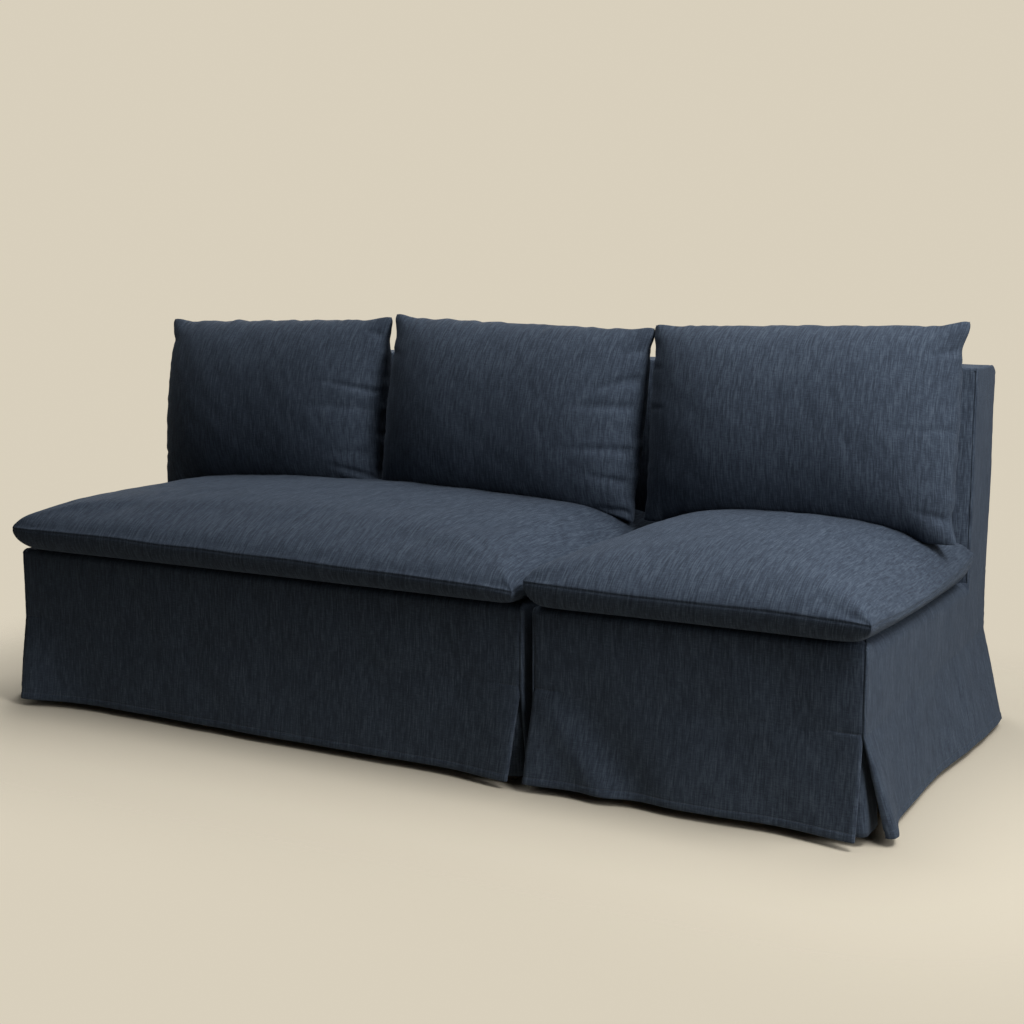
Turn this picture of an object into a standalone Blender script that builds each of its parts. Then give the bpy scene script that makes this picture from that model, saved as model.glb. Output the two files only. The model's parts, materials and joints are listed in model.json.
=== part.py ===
"""Armless slipcovered dining banquette: a two-seat module and a one-seat module side by side.

Metres. The origin lies on the floor under the middle of the plan, +X runs along the seats,
-Y is the front and +Z is up. Each module is modelled from its own front left floor corner.
"""

import math

import bpy
import numpy as np
from mathutils import Matrix
from mathutils.bvhtree import BVHTree

# Both modules, measured over the slipcover
WIDE_WIDTH = 1.244
NARROW_WIDTH = 0.610
MODULE_GAP = 0.019
DEPTH = 0.900
BACK_HEIGHT = 0.745
BACK_THICKNESS = 0.170
DECK_FRONT_HEIGHT = 0.340
DECK_REAR_HEIGHT = 0.312

# Clearances: between pieces that touch, and between layers of cloth and padding
FIT = 0.0003
LAYER_FIT = 0.0006

# Slipcover
CLOTH = 0.0025
DECK_EDGE_RADIUS = 0.014
TOP_EDGE_RADIUS = 0.008
DECK_TUCK = 0.030
BACK_CROWN = 0.030
BACK_ROLL = 0.160

# Skirt: how far its hem stands out from the upright face above it
HEM_HEIGHT = 0.016
RELEASE_HEIGHT = 0.186
FLARE_POWER = 1.2
FRONT_FLARE = 0.014
FRONT_CORNER_FLARE = 0.026
LEFT_CORNER_FLARE = 0.056
SIDE_FLARE = 0.040
SIDE_FRONT_FLARE = 0.047
SIDE_REAR_FLARE = 0.064
REAR_FLARE = 0.030
REAR_CORNER_FLARE = 0.045
INNER_FLARE = 0.004
CORNER_SPREAD = 0.090

# Inverted kick pleats: how far each panel's edge draws back from the corner at the hem, and the underlay
FRONT_NOTCH = 0.002
LEFT_NOTCH = 0.014
WIDE_SPLIT_NOTCH = 0.014
NARROW_SPLIT_NOTCH = -0.005
SIDE_FRONT_NOTCH = 0.020
SIDE_REAR_NOTCH = 0.038
PLEAT_WING = 0.070
PLEAT_LAP = 0.028
PLEAT_RADIUS = 0.010
PLEAT_FLARE_SHARE = 0.6
PLEAT_HEM_RISE = 0.002

# Timber frame
FRAME_INSET = 0.014
RAIL = 0.028
UPRIGHT_WIDTH = 0.034
CREST_RAIL = 0.034
CENTRE_RAIL_DROP = 0.012
BOARD_BEVEL = 0.002

# Feet
FOOT_HEIGHT = 0.062
FOOT_TOP = 0.056
FOOT_BOTTOM = 0.042
FOOT_SETBACK = 0.020

# Webbing and pads
WEB_THICKNESS = 0.002
WEB_STRAP = 0.050
WEB_PITCH = 0.130
WEB_MARGIN = 0.003
BACK_WEB_RISE = 0.022
BACK_WEB_LAP = 0.022
DECK_PAD = 0.045
BACK_PAD = 0.045

# Seat cushions
SEAT_SEAM_HEIGHT = 0.382
SEAT_EDGE_RISE = 0.060
SEAT_CROWN = 0.030
SEAT_ROLL = 0.105
SEAT_UNDER_ROLL = 0.052
SEAT_FULLNESS = 0.5
SEAT_CORNER_DROOP = 0.006
SEAT_CORNER_SHARPNESS = 8
SEAT_SIDE_PULL = 0.012
SEAT_FRONT_OVERHANG = 0.045
WIDE_END_OVERHANG = 0.002
NARROW_END_OVERHANG = 0.018
SEAT_REAR_CLEARANCE = 0.038
SEAT_SPLIT = 0.004

# Back cushions
BACK_CUSHION_WIDTH = 0.632
BACK_CUSHION_HEIGHT = 0.402
BACK_CUSHION_FRONT = 0.105
BACK_CUSHION_ROLL = 0.190
BACK_CUSHION_FULLNESS = 0.6
BACK_CUSHION_SIDE_PULL = 0.009
BACK_CUSHION_STANDOFF = 0.185
BACK_CUSHION_LEAN = math.radians(8.5)
BACK_CUSHION_SINK = 0.025
LEFT_CUSHION_FROM_END = 0.270
MIDDLE_CUSHION_FROM_END = 0.328
RIGHT_CUSHION_FROM_END = 0.304
LEFT_CUSHION_TILT = math.radians(1.0)
MIDDLE_CUSHION_TILT = math.radians(-2.0)
RIGHT_CUSHION_TILT = math.radians(0.8)

# Cushion covers: seam allowance, and the share of a side that the zip opening takes
SEAM_ALLOWANCE = 0.014
ZIP_SHARE = 0.62

# Facets
SKIRT_ROWS = 4
WIDE_COLUMNS = 12
NARROW_COLUMNS = 10
BACK_FACE_ROWS = 6
WIDE_SEAT_GRID = (16, 10)
NARROW_SEAT_GRID = (10, 10)
BACK_CUSHION_GRID = (12, 8)

# Derived places
BACK_FACE = DEPTH - BACK_THICKNESS
DECK_SLOPE = (DECK_FRONT_HEIGHT - DECK_REAR_HEIGHT) / BACK_FACE
BACK_PAD_FRONT = BACK_FACE + CLOTH + LAYER_FIT
BACK_PAD_REAR = BACK_PAD_FRONT + BACK_PAD
UPRIGHT_FRONT = BACK_PAD_REAR + FIT + WEB_THICKNESS + FIT
UPRIGHT_REAR = DEPTH - FRAME_INSET
CREST_TOP = BACK_HEIGHT - FRAME_INSET
NARROW_START = WIDE_WIDTH + MODULE_GAP
TOTAL_WIDTH = NARROW_START + NARROW_WIDTH
FRONT_REACH = max(SEAT_FRONT_OVERHANG, FRONT_FLARE, FRONT_CORNER_FLARE, LEFT_CORNER_FLARE)
REAR_REACH = max(REAR_FLARE, REAR_CORNER_FLARE)
PLAN_MIDDLE_Y = (DEPTH + REAR_REACH - FRONT_REACH) / 2
BACK_CUSHION_Y = BACK_FACE - BACK_CUSHION_STANDOFF
BACK_CUSHION_REAR = BACK_CUSHION_STANDOFF - BACK_CROWN - LAYER_FIT


def finish(name, colour, roughness):
    """A Principled material of one colour."""
    material = bpy.data.materials.new(name)
    material.use_nodes = True
    shader = material.node_tree.nodes["Principled BSDF"]
    shader.inputs["Base Color"].default_value = (*colour, 1.0)
    shader.inputs["Roughness"].default_value = roughness
    shader.inputs["Metallic"].default_value = 0.0
    return material


def empty(name, location, parent=None):
    """A frame that pieces are placed in."""
    frame = bpy.data.objects.new(name, None)
    bpy.context.scene.collection.objects.link(frame)
    frame.location = location
    frame.parent = parent
    return frame


def add_piece(name, points, faces, material, parent):
    """One object from points and faces in its parent's frame."""
    mesh = bpy.data.meshes.new(name)
    mesh.from_pydata([tuple(map(float, point)) for point in points], [], faces)
    mesh.materials.append(material)
    piece = bpy.data.objects.new(name, mesh)
    bpy.context.scene.collection.objects.link(piece)
    piece.parent = parent
    return piece


def cell_quads(rows, columns, kept=None):
    """Faces of a grid of points, row by row, for every cell or only for the cells that are kept."""
    quads = []
    for row in range(rows - 1):
        for column in range(columns - 1):
            if kept is None or kept[row][column]:
                first = row * columns + column
                quads.append((first, first + 1, first + columns + 1, first + columns))
    return quads


def sheet(name, grid, material, parent, thickness=CLOTH, kept=None):
    """Cloth of one thickness behind a grid of points that faces outwards."""
    rows, columns = grid.shape[:2]
    quads = cell_quads(rows, columns, kept)
    used = sorted({corner for quad in quads for corner in quad})
    renumbered = {old: new for new, old in enumerate(used)}
    points = grid.reshape(-1, 3)[used]
    piece = add_piece(name, points, [[renumbered[c] for c in quad] for quad in quads], material, parent)
    wall = piece.modifiers.new("cloth", "SOLIDIFY")
    wall.thickness = thickness
    wall.offset = -1.0
    wall.use_even_offset = True
    return piece


def slab(name, front, rear, material, parent):
    """A pad between two grids of points, closed along their rims."""
    rows, columns = front.shape[:2]
    count = rows * columns
    quads = cell_quads(rows, columns)
    faces = quads + [tuple(corner + count for corner in reversed(quad)) for quad in quads]
    rim = [(0, column) for column in range(columns - 1)]
    rim += [(row, columns - 1) for row in range(rows - 1)]
    rim += [(rows - 1, column) for column in range(columns - 1, 0, -1)]
    rim += [(row, 0) for row in range(rows - 1, 0, -1)]
    loop = [row * columns + column for row, column in rim]
    for here, there in zip(loop, loop[1:] + loop[:1]):
        faces.append((there, here, here + count, there + count))
    points = np.concatenate([front.reshape(-1, 3), rear.reshape(-1, 3)])
    return add_piece(name, points, faces, material, parent)


def prism(name, outline, start, end, material, parent, bevel=BOARD_BEVEL):
    """A board or pad: an outline in Y and Z, anticlockwise seen from +X, carried along X."""
    count = len(outline)
    points = [(x, y, z) for x in (start, end) for y, z in outline]
    faces = [tuple(reversed(range(count))), tuple(range(count, 2 * count))]
    for here in range(count):
        there = (here + 1) % count
        faces.append((here, there, there + count, here + count))
    piece = add_piece(name, points, faces, material, parent)
    if bevel:
        edge = piece.modifiers.new("eased edges", "BEVEL")
        edge.width = bevel
        edge.segments = 1
        edge.limit_method = "ANGLE"
    return piece


def box_outline(front, rear, bottom, top):
    return [(front, bottom), (rear, bottom), (rear, top), (front, top)]


def spread(count):
    """Shares from 0 to 1 that crowd towards both ends."""
    return (1.0 - np.cos(np.linspace(0.0, math.pi, count + 1))) / 2


def deck_height(y):
    return DECK_FRONT_HEIGHT - DECK_SLOPE * y


def web_height(y):
    """Upper face of the seat webbing, which the deck pad lies on."""
    return deck_height(y) - CLOTH - LAYER_FIT - DECK_PAD - FIT


def rail_height(y):
    """Upper edge of the seat rails, which the seat webbing lies on."""
    return web_height(y) - WEB_THICKNESS - FIT


def rounded_drop(distance, radius):
    """How far a round edge falls below its flat, at a distance in from the edge."""
    inside = radius - np.minimum(distance, radius)
    return radius - np.sqrt(radius**2 - inside**2)


def hang(height):
    """Share of the skirt's flare at a height: 0 at the release and 1 at the hem."""
    below = np.clip((RELEASE_HEIGHT - height) / (RELEASE_HEIGHT - HEM_HEIGHT), 0.0, 1.0)
    return below**FLARE_POWER


def skirt_heights(bottom):
    return np.linspace(bottom, RELEASE_HEIGHT, SKIRT_ROWS + 1)


def flare(along, length, reaches):
    """Reach of a hem whose start, middle and end reaches are given: the middle one, growing to each end's."""
    start, middle, end = reaches
    from_start = (start - middle) * np.exp(-along / CORNER_SPREAD)
    from_end = (end - middle) * np.exp(-(length - along) / CORNER_SPREAD)
    return middle + from_start + from_end


def strip(width, columns, heights, reaches, notches):
    """X and reach of a panel between two side panels, drawn in at the pleat notches below the release."""
    hanging = hang(heights)[:, None]
    start = CLOTH + FIT + notches[0] * hanging
    end = width - CLOTH - FIT - notches[1] * hanging
    shares = spread(columns)
    return start + (end - start) * shares, hanging * flare(shares * width, width, reaches)


def front_panel(name, width, columns, skirt, material, parent):
    """Skirt front and deck in one strip: up from the hem, over the deck edge, back under the back pad."""
    turn = np.radians([0.0, 30.0, 60.0, 90.0])
    heights = skirt_heights(HEM_HEIGHT)
    deck = np.array([BACK_FACE, BACK_FACE + DECK_TUCK])
    edge_y = DECK_EDGE_RADIUS * (1.0 - np.cos(turn))
    edge_z = deck_height(edge_y) - rounded_drop(edge_y, DECK_EDGE_RADIUS)
    y = np.concatenate([np.zeros_like(heights), edge_y, deck])
    z = np.concatenate([heights, edge_z, deck_height(deck)])
    x, reach = strip(width, columns, z, skirt["front"], skirt["notches"])
    grid = np.stack([x, y[:, None] - reach, np.broadcast_to(z[:, None], x.shape)], axis=-1)
    return sheet(name, grid, material, parent)


def outside_back_panel(name, width, columns, skirt, material, parent):
    """Rear skirt, outside back and back top in one strip."""
    turn = np.radians([0.0, 45.0, 90.0])
    heights = skirt_heights(HEM_HEIGHT)
    edge = TOP_EDGE_RADIUS * (1.0 - np.cos(turn))
    y = np.concatenate([np.full_like(heights, DEPTH), DEPTH - edge, [BACK_FACE]])
    z = np.concatenate([heights, BACK_HEIGHT - rounded_drop(edge, TOP_EDGE_RADIUS), [BACK_HEIGHT]])
    x, reach = strip(width, columns, z, skirt["rear"], skirt["notches"])
    grid = np.stack([x, y[:, None] + reach, np.broadcast_to(z[:, None], x.shape)], axis=-1)
    return sheet(name, grid[:, ::-1], material, parent)


def side_panel(name, face_x, outward, reaches, material, parent):
    """L-shaped end: the skirt side up to the deck, and the end of the back above it."""
    front = BACK_FACE - DECK_EDGE_RADIUS
    fore = DECK_EDGE_RADIUS + front * (1.0 - np.cos(np.linspace(0.0, math.pi / 2, 6)))
    aft = BACK_FACE + (BACK_THICKNESS - TOP_EDGE_RADIUS) * np.array([0.5, 0.8, 1.0])
    nose = DECK_EDGE_RADIUS * np.array([0.0, 0.3])
    heel = DEPTH - TOP_EDGE_RADIUS * np.array([0.3, 0.0])
    y = np.concatenate([nose, fore, aft, heel])
    heights = skirt_heights(HEM_HEIGHT)
    deck = deck_height(y) - rounded_drop(y, DECK_EDGE_RADIUS)
    top = BACK_HEIGHT - rounded_drop(DEPTH - y, TOP_EDGE_RADIUS)
    z = np.stack([np.full_like(y, height) for height in heights] + [deck, top])
    start = SIDE_FRONT_NOTCH * hang(z)
    end = DEPTH - SIDE_REAR_NOTCH * hang(z)
    along = start + (end - start) * (y / DEPTH)[None, :]
    x = face_x + outward * flare(y, DEPTH, reaches) * hang(z)
    grid = np.stack([x, along, z], axis=-1)
    kept = np.ones((len(z) - 1, len(y) - 1), bool)
    kept[-1] = y[:-1] > BACK_FACE - FIT
    if outward < 0:
        grid = grid[:, ::-1]
        kept = kept[:, ::-1]
    return sheet(name, grid, material, parent, kept=kept)


def back_bulge(x, z, width):
    """How far the padded inside back stands forward of its seamed edges."""
    def ease(distance):
        return 1.0 - (1.0 - np.clip(distance / BACK_ROLL, 0.0, 1.0)) ** 2
    across = ease(x) * ease(width - x)
    return BACK_CROWN * across * ease(z - DECK_REAR_HEIGHT) * ease(BACK_HEIGHT - z)


def back_face_grid(width, columns, margin, bottom, top):
    x = margin + (width - 2 * margin) * spread(columns)
    z = bottom + (top - bottom) * spread(BACK_FACE_ROWS)
    return np.meshgrid(x, z)


def inside_back_panel(name, width, columns, material, parent):
    """Front face of the back, between the side panels and under the back's top cloth."""
    top = BACK_HEIGHT - CLOTH - FIT
    x, z = back_face_grid(width, columns, CLOTH + FIT, DECK_REAR_HEIGHT + FIT, top)
    grid = np.stack([x, BACK_FACE - back_bulge(x, z, width), z], axis=-1)
    return sheet(name, grid, material, parent)


def back_pad(name, width, columns, material, parent):
    """Foam behind the inside back panel, flat where it lies on the webbing and the crest rail."""
    top = BACK_HEIGHT - CLOTH - LAYER_FIT
    x, z = back_face_grid(width, columns, CLOTH + LAYER_FIT, DECK_REAR_HEIGHT + FIT, top)
    front = np.stack([x, BACK_PAD_FRONT - back_bulge(x, z, width), z], axis=-1)
    rear = np.stack([x, np.full_like(x, BACK_PAD_REAR), z], axis=-1)
    return slab(name, front, rear, material, parent)


def deck_pad(name, width, material, parent):
    """Foam on the seat webbing, with the deck's rounded front edge."""
    shrink = CLOTH + LAYER_FIT
    radius = DECK_EDGE_RADIUS - shrink
    outline = [(shrink, web_height(shrink) + FIT), (BACK_PAD_REAR, web_height(BACK_PAD_REAR) + FIT)]
    outline.append((BACK_PAD_REAR, deck_height(BACK_PAD_REAR) - shrink))
    for turn in np.radians([90.0, 60.0, 30.0, 0.0]):
        inside = radius * (1.0 - math.cos(turn))
        height = deck_height(shrink + inside) - shrink - rounded_drop(inside, radius)
        outline.append((shrink + inside, height))
    return prism(name, outline, shrink, width - shrink, material, parent, bevel=0.0)


def pleat_underlay(name, corner, run_in, run_out, reach_in, reach_out, material, parent):
    """Cloth folded round a corner behind the two skirt panels, which part over it below the release.

    run_in points along the first panel towards the corner and run_out along the second away from it.
    """
    run_in = np.array(run_in, float)
    run_out = np.array(run_out, float)
    inset = CLOTH + LAYER_FIT
    heights = np.append(skirt_heights(HEM_HEIGHT + PLEAT_HEM_RISE), RELEASE_HEIGHT + PLEAT_LAP)
    rows = []
    for height in heights:
        out_first = PLEAT_FLARE_SHARE * reach_in * hang(height) - inset
        out_second = PLEAT_FLARE_SHARE * reach_out * hang(height) - inset
        fold = np.array(corner) - run_out * out_first + run_in * out_second
        centre = fold + PLEAT_RADIUS * (run_out - run_in)
        path = [fold - run_in * PLEAT_WING]
        for turn in np.radians([0.0, 30.0, 60.0, 90.0]):
            path.append(centre + PLEAT_RADIUS * (run_in * math.sin(turn) - run_out * math.cos(turn)))
        path.append(fold + run_out * PLEAT_WING)
        rows.append([(x, y, height) for x, y in path])
    return sheet(name, np.array(rows), material, parent)


def foot(name, outer_x, outer_y, inward_x, inward_y, material, parent):
    """A square tapered block under a corner of the frame, set back from the slipcover's two faces."""
    centre_x = outer_x + inward_x * (FOOT_SETBACK + FOOT_TOP / 2)
    centre_y = outer_y + inward_y * (FOOT_SETBACK + FOOT_TOP / 2)
    points = []
    for side, height in ((FOOT_BOTTOM, 0.0), (FOOT_TOP, FOOT_HEIGHT - FIT)):
        for sign_x, sign_y in ((-1, -1), (1, -1), (1, 1), (-1, 1)):
            points.append((centre_x + sign_x * side / 2, centre_y + sign_y * side / 2, height))
    faces = [(3, 2, 1, 0), (4, 5, 6, 7)]
    faces += [(i, (i + 1) % 4, (i + 1) % 4 + 4, i + 4) for i in range(4)]
    piece = add_piece(name, points, faces, material, parent)
    edge = piece.modifiers.new("eased edges", "BEVEL")
    edge.width = BOARD_BEVEL
    edge.segments = 1
    return piece


def strap_edges(start, end):
    """Both edges of each strap, spaced evenly from one side of a frame to the other."""
    count = max(2, round((end - start - WEB_STRAP) / WEB_PITCH) + 1)
    starts = np.linspace(start, end - WEB_STRAP, count)
    return np.stack([starts, starts + WEB_STRAP], axis=1).reshape(-1)


def open_cells(rows, columns):
    """Cells of a strap net: the spaces between straps both ways stay open."""
    return [[row % 2 == 0 or column % 2 == 0 for column in range(columns - 1)] for row in range(rows - 1)]


def seat_webbing(name, width, material, parent):
    """Crossed straps over the four seat rails."""
    edge = FRAME_INSET + WEB_MARGIN
    x, y = np.meshgrid(strap_edges(edge, width - edge), strap_edges(edge, UPRIGHT_FRONT - FIT - WEB_MARGIN))
    grid = np.stack([x, y, web_height(y)], axis=-1)
    return sheet(name, grid, material, parent, WEB_THICKNESS, open_cells(*x.shape))


def back_webbing(name, width, material, parent):
    """Crossed straps over the front of the uprights and the crest rail."""
    edge = FRAME_INSET + WEB_MARGIN
    low = DECK_REAR_HEIGHT + BACK_WEB_RISE
    high = CREST_TOP - CREST_RAIL + BACK_WEB_LAP
    x, z = np.meshgrid(strap_edges(edge, width - edge), strap_edges(low, high))
    grid = np.stack([x, np.full_like(x, BACK_PAD_REAR + FIT), z], axis=-1)
    return sheet(name, grid, material, parent, WEB_THICKNESS, open_cells(*x.shape))


def timber_frame(prefix, width, material, parent):
    """Seat rails, two uprights and the crest rail of one module."""
    outer = FRAME_INSET
    front_rear = outer + RAIL
    rear_rail_rear = UPRIGHT_FRONT - FIT
    rear_rail_front = rear_rail_rear - RAIL
    rails_inside = outer + RAIL + FIT

    def sloped(front, rear, drop=0.0):
        outline = box_outline(front, rear, FOOT_HEIGHT, 0.0)
        outline[2] = (rear, rail_height(rear) - drop)
        outline[3] = (front, rail_height(front) - drop)
        return outline

    side = sloped(front_rear + FIT, rear_rail_rear)
    prism(f"{prefix}_front_rail", sloped(outer, front_rear), outer, width - outer, material, parent)
    prism(f"{prefix}_left_rail", side, outer, outer + RAIL, material, parent)
    prism(f"{prefix}_right_rail", side, width - outer - RAIL, width - outer, material, parent)
    rear = sloped(rear_rail_front, rear_rail_rear)
    prism(f"{prefix}_rear_rail", rear, rails_inside, width - rails_inside, material, parent)
    upright = box_outline(UPRIGHT_FRONT, UPRIGHT_REAR, FOOT_HEIGHT, CREST_TOP - CREST_RAIL - FIT)
    for side_name, start in (("left", outer), ("right", width - outer - UPRIGHT_WIDTH)):
        prism(f"{prefix}_{side_name}_upright", upright, start, start + UPRIGHT_WIDTH, material, parent)
    crest = box_outline(UPRIGHT_FRONT, UPRIGHT_REAR, CREST_TOP - CREST_RAIL, CREST_TOP)
    prism(f"{prefix}_crest_rail", crest, outer, width - outer, material, parent)
    if width > NARROW_WIDTH:
        middle = sloped(front_rear + FIT, rear_rail_front - FIT, CENTRE_RAIL_DROP)
        start = (width - RAIL) / 2
        prism(f"{prefix}_centre_rail", middle, start, start + RAIL, material, parent)


def module(prefix, width, columns, skirt, finishes, parent):
    """Everything of one module that is fixed: frame, springing, pads, slipcover and feet."""
    linen = finishes["linen"]
    timber_frame(prefix, width, finishes["timber"], parent)
    seat_webbing(f"{prefix}_seat_webbing", width, finishes["webbing"], parent)
    back_webbing(f"{prefix}_back_webbing", width, finishes["webbing"], parent)
    deck_pad(f"{prefix}_deck_pad", width, finishes["foam"], parent)
    back_pad(f"{prefix}_back_pad", width, columns, finishes["foam"], parent)
    front_panel(f"{prefix}_front_panel", width, columns, skirt, linen, parent)
    outside_back_panel(f"{prefix}_outside_back_panel", width, columns, skirt, linen, parent)
    inside_back_panel(f"{prefix}_inside_back_panel", width, columns, linen, parent)
    side_panel(f"{prefix}_left_panel", 0.0, -1, skirt["left"], linen, parent)
    side_panel(f"{prefix}_right_panel", width, 1, skirt["right"], linen, parent)
    front, rear, left, right = (skirt[side][1] for side in ("front", "rear", "left", "right"))
    pleats = {
        "front_right": ((width, 0.0), (1, 0), (0, 1), front, right),
        "rear_right": ((width, DEPTH), (0, 1), (-1, 0), right, rear),
        "rear_left": ((0.0, DEPTH), (-1, 0), (0, -1), rear, left),
        "front_left": ((0.0, 0.0), (0, -1), (1, 0), left, front),
    }
    for place, (corner, run_in, run_out, reach_in, reach_out) in pleats.items():
        name = f"{prefix}_pleat_{place}"
        pleat_underlay(name, corner, run_in, run_out, reach_in, reach_out, linen, parent)
        inward_x = 1 if corner[0] == 0.0 else -1
        inward_y = 1 if corner[1] == 0.0 else -1
        foot(f"{prefix}_foot_{place}", *corner, inward_x, inward_y, finishes["foot"], parent)


def edge_roll(distance, radius, power):
    """Rise of a stuffed edge: 0 at the seam and 1 from the roll radius inwards."""
    inside = np.clip(distance / radius, 0.0, 1.0)
    return (1.0 - (1.0 - inside) ** 2) ** power


def cushion_plan(grid, half_width, half_depth, pull):
    """Shares u and v of a cushion's face, and its outline with sides drawn in between the corners."""
    across = np.sin(np.linspace(-math.pi / 2, math.pi / 2, grid[0] + 1))
    along = np.sin(np.linspace(-math.pi / 2, math.pi / 2, grid[1] + 1))
    u, v = np.meshgrid(across, along)
    x = u * half_width - pull * (1.0 - v**2) * u**3
    y = v * half_depth - pull * (1.0 - u**2) * v**3
    return u, v, x, y


LAYERS = {
    "outside": (0.0, 0.0),
    "lining": (SEAM_ALLOWANCE, CLOTH),
    "insert": (SEAM_ALLOWANCE + LAYER_FIT, CLOTH + LAYER_FIT),
}


def seat_rise(u, v, half_width, half_depth, inset, wall):
    """Height of a seat cushion's top above its seam."""
    rolls = edge_roll((1 - np.abs(u)) * (half_width - inset), SEAT_ROLL, SEAT_FULLNESS)
    rolls = rolls * edge_roll((1 - np.abs(v)) * (half_depth - inset), SEAT_ROLL, SEAT_FULLNESS)
    return (SEAT_EDGE_RISE - wall + SEAT_CROWN * (1 - u**2) * (1 - v**2)) * rolls


def seat_faces(grid, half_width, half_depth, centre_y, layer):
    """Top and underside of a seat cushion's layer, from its own plan centre."""
    inset, wall = LAYERS[layer]
    u, v, x, y = cushion_plan(grid, half_width - inset, half_depth - inset, SEAT_SIDE_PULL)
    front_corner = np.abs(u * np.minimum(v, 0.0)) ** SEAT_CORNER_SHARPNESS
    seam = SEAT_SEAM_HEIGHT - SEAT_CORNER_DROOP * front_corner
    top = seam + seat_rise(u, v, half_width, half_depth, inset, wall)
    under = edge_roll((1 - np.abs(u)) * (half_width - inset), SEAT_UNDER_ROLL, SEAT_FULLNESS)
    under = under * edge_roll((1 - np.abs(v)) * (half_depth - inset), SEAT_UNDER_ROLL, SEAT_FULLNESS)
    bottom = seam - (seam - deck_height(centre_y + y) - LAYER_FIT - wall) * under
    return np.stack([x, y, top], axis=-1), np.stack([x, y, bottom], axis=-1)


def face_pair(first, second):
    """Points and faces of a closed form whose two sides share their rim of points.

    The first side faces along the grid's normal and the second against it. Every cell is split along
    the diagonal that points at its corner of the cushion, so that the two sides never lie on each other
    there and layers of one cushion have matching facets.
    """
    rows, columns = first.shape[:2]
    front = np.arange(rows * columns).reshape(rows, columns)
    rear = front.copy()
    inner = (rows - 2) * (columns - 2)
    rear[1:-1, 1:-1] = rows * columns + np.arange(inner).reshape(rows - 2, columns - 2)
    points = np.concatenate([first.reshape(-1, 3), second[1:-1, 1:-1].reshape(-1, 3)])
    sides = ({}, {})
    for row in range(rows - 1):
        for column in range(columns - 1):
            for side, index in zip(sides, (front, rear)):
                a, b = index[row, column], index[row, column + 1]
                c, d = index[row + 1, column + 1], index[row + 1, column]
                rising = (2 * row < rows - 1) == (2 * column < columns - 1)
                if rising:
                    cell = [(a, b, c), (a, c, d)]
                else:
                    cell = [(a, b, d), (b, c, d)]
                side[row, column] = [tuple(int(i) for i in face) for face in cell]
    rear_cells = {key: [face[::-1] for face in cell] for key, cell in sides[1].items()}
    return points, sides[0], rear_cells


def solid_pair(first, second):
    """Points and faces of a closed form, with nothing left open."""
    points, front, rear = face_pair(first, second)
    faces = [face for side in (front, rear) for cell in side.values() for face in cell]
    return points, faces


def cover_shell(outside, lining, zip_row):
    """A cushion cover: outer and inner cloth faces that meet round the zip opening on the second side."""
    points, front, rear = face_pair(*outside)
    inner_points, inner_front, inner_rear = face_pair(*lining)
    rows, columns = outside[0].shape[:2]
    row = zip_row % (rows - 1)
    first = math.ceil((1 - ZIP_SHARE) / 2 * (columns - 1))
    slot = [(row, column) for column in range(first, columns - 1 - first)]
    removed = [face for key in slot for face in rear[key]]
    edges = {(a, b) for face in removed for a, b in zip(face, face[1:] + face[:1])}
    count = len(points)
    faces = [face for cell in front.values() for face in cell]
    faces += [face for key, cell in rear.items() if key not in slot for face in cell]
    inner = [face for cell in inner_front.values() for face in cell]
    inner += [face for key, cell in inner_rear.items() if key not in slot for face in cell]
    faces += [tuple(corner + count for corner in reversed(face)) for face in inner]
    for a, b in sorted(edges):
        if (b, a) not in edges:
            faces.append((a, b, b + count, a + count))
    return np.concatenate([points, inner_points]), faces


def smooth(piece):
    piece.data.shade_smooth()
    return piece


def seat_cushion(prefix, grid, start, end, finishes, parent):
    """Knife-edged seat cushion on the deck: a zipped cover round a loose insert."""
    half_width = (end - start) / 2
    half_depth = (BACK_FACE - SEAT_REAR_CLEARANCE + SEAT_FRONT_OVERHANG) / 2
    centre = np.array([(start + end) / 2, half_depth - SEAT_FRONT_OVERHANG, 0.0])
    frame = empty(f"{prefix}_seat_cushion", centre, parent)
    layers = {layer: seat_faces(grid, half_width, half_depth, centre[1], layer) for layer in LAYERS}
    points, faces = cover_shell(layers["outside"], layers["lining"], -1)
    smooth(add_piece(f"{prefix}_seat_cover", points, faces, finishes["linen"], frame))
    inside = solid_pair(*layers["insert"])
    smooth(add_piece(f"{prefix}_seat_insert", *inside, finishes["ticking"], frame))
    outer_points, outer_faces = solid_pair(*layers["outside"])
    return {
        "frame": frame,
        "centre": centre,
        "half": (half_width, half_depth),
        "points": outer_points + centre,
        "faces": outer_faces,
    }


def seat_top(seat, x, y):
    """Height of a seat cushion's top in its module, and the deck's where the cushion doesn't reach."""
    half_width, half_depth = seat["half"]
    u = np.clip((x - seat["centre"][0]) / half_width, -1.0, 1.0)
    v = np.clip((y - seat["centre"][1]) / half_depth, -1.0, 1.0)
    over = (np.abs(u) < 1.0) & (np.abs(v) < 1.0)
    height = SEAT_SEAM_HEIGHT + seat_rise(u, v, half_width, half_depth, 0.0, 0.0)
    return np.where(over, height, DECK_REAR_HEIGHT)


def facet_samples(points, faces, steps=6):
    """Points spread evenly over every triangle, its edges included."""
    shares = [(a, b) for a in range(steps + 1) for b in range(steps + 1 - a)]
    weights = np.array([(a, b, steps - a - b) for a, b in shares]) / steps
    return np.concatenate([weights @ points[list(face)] for face in faces])


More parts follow.
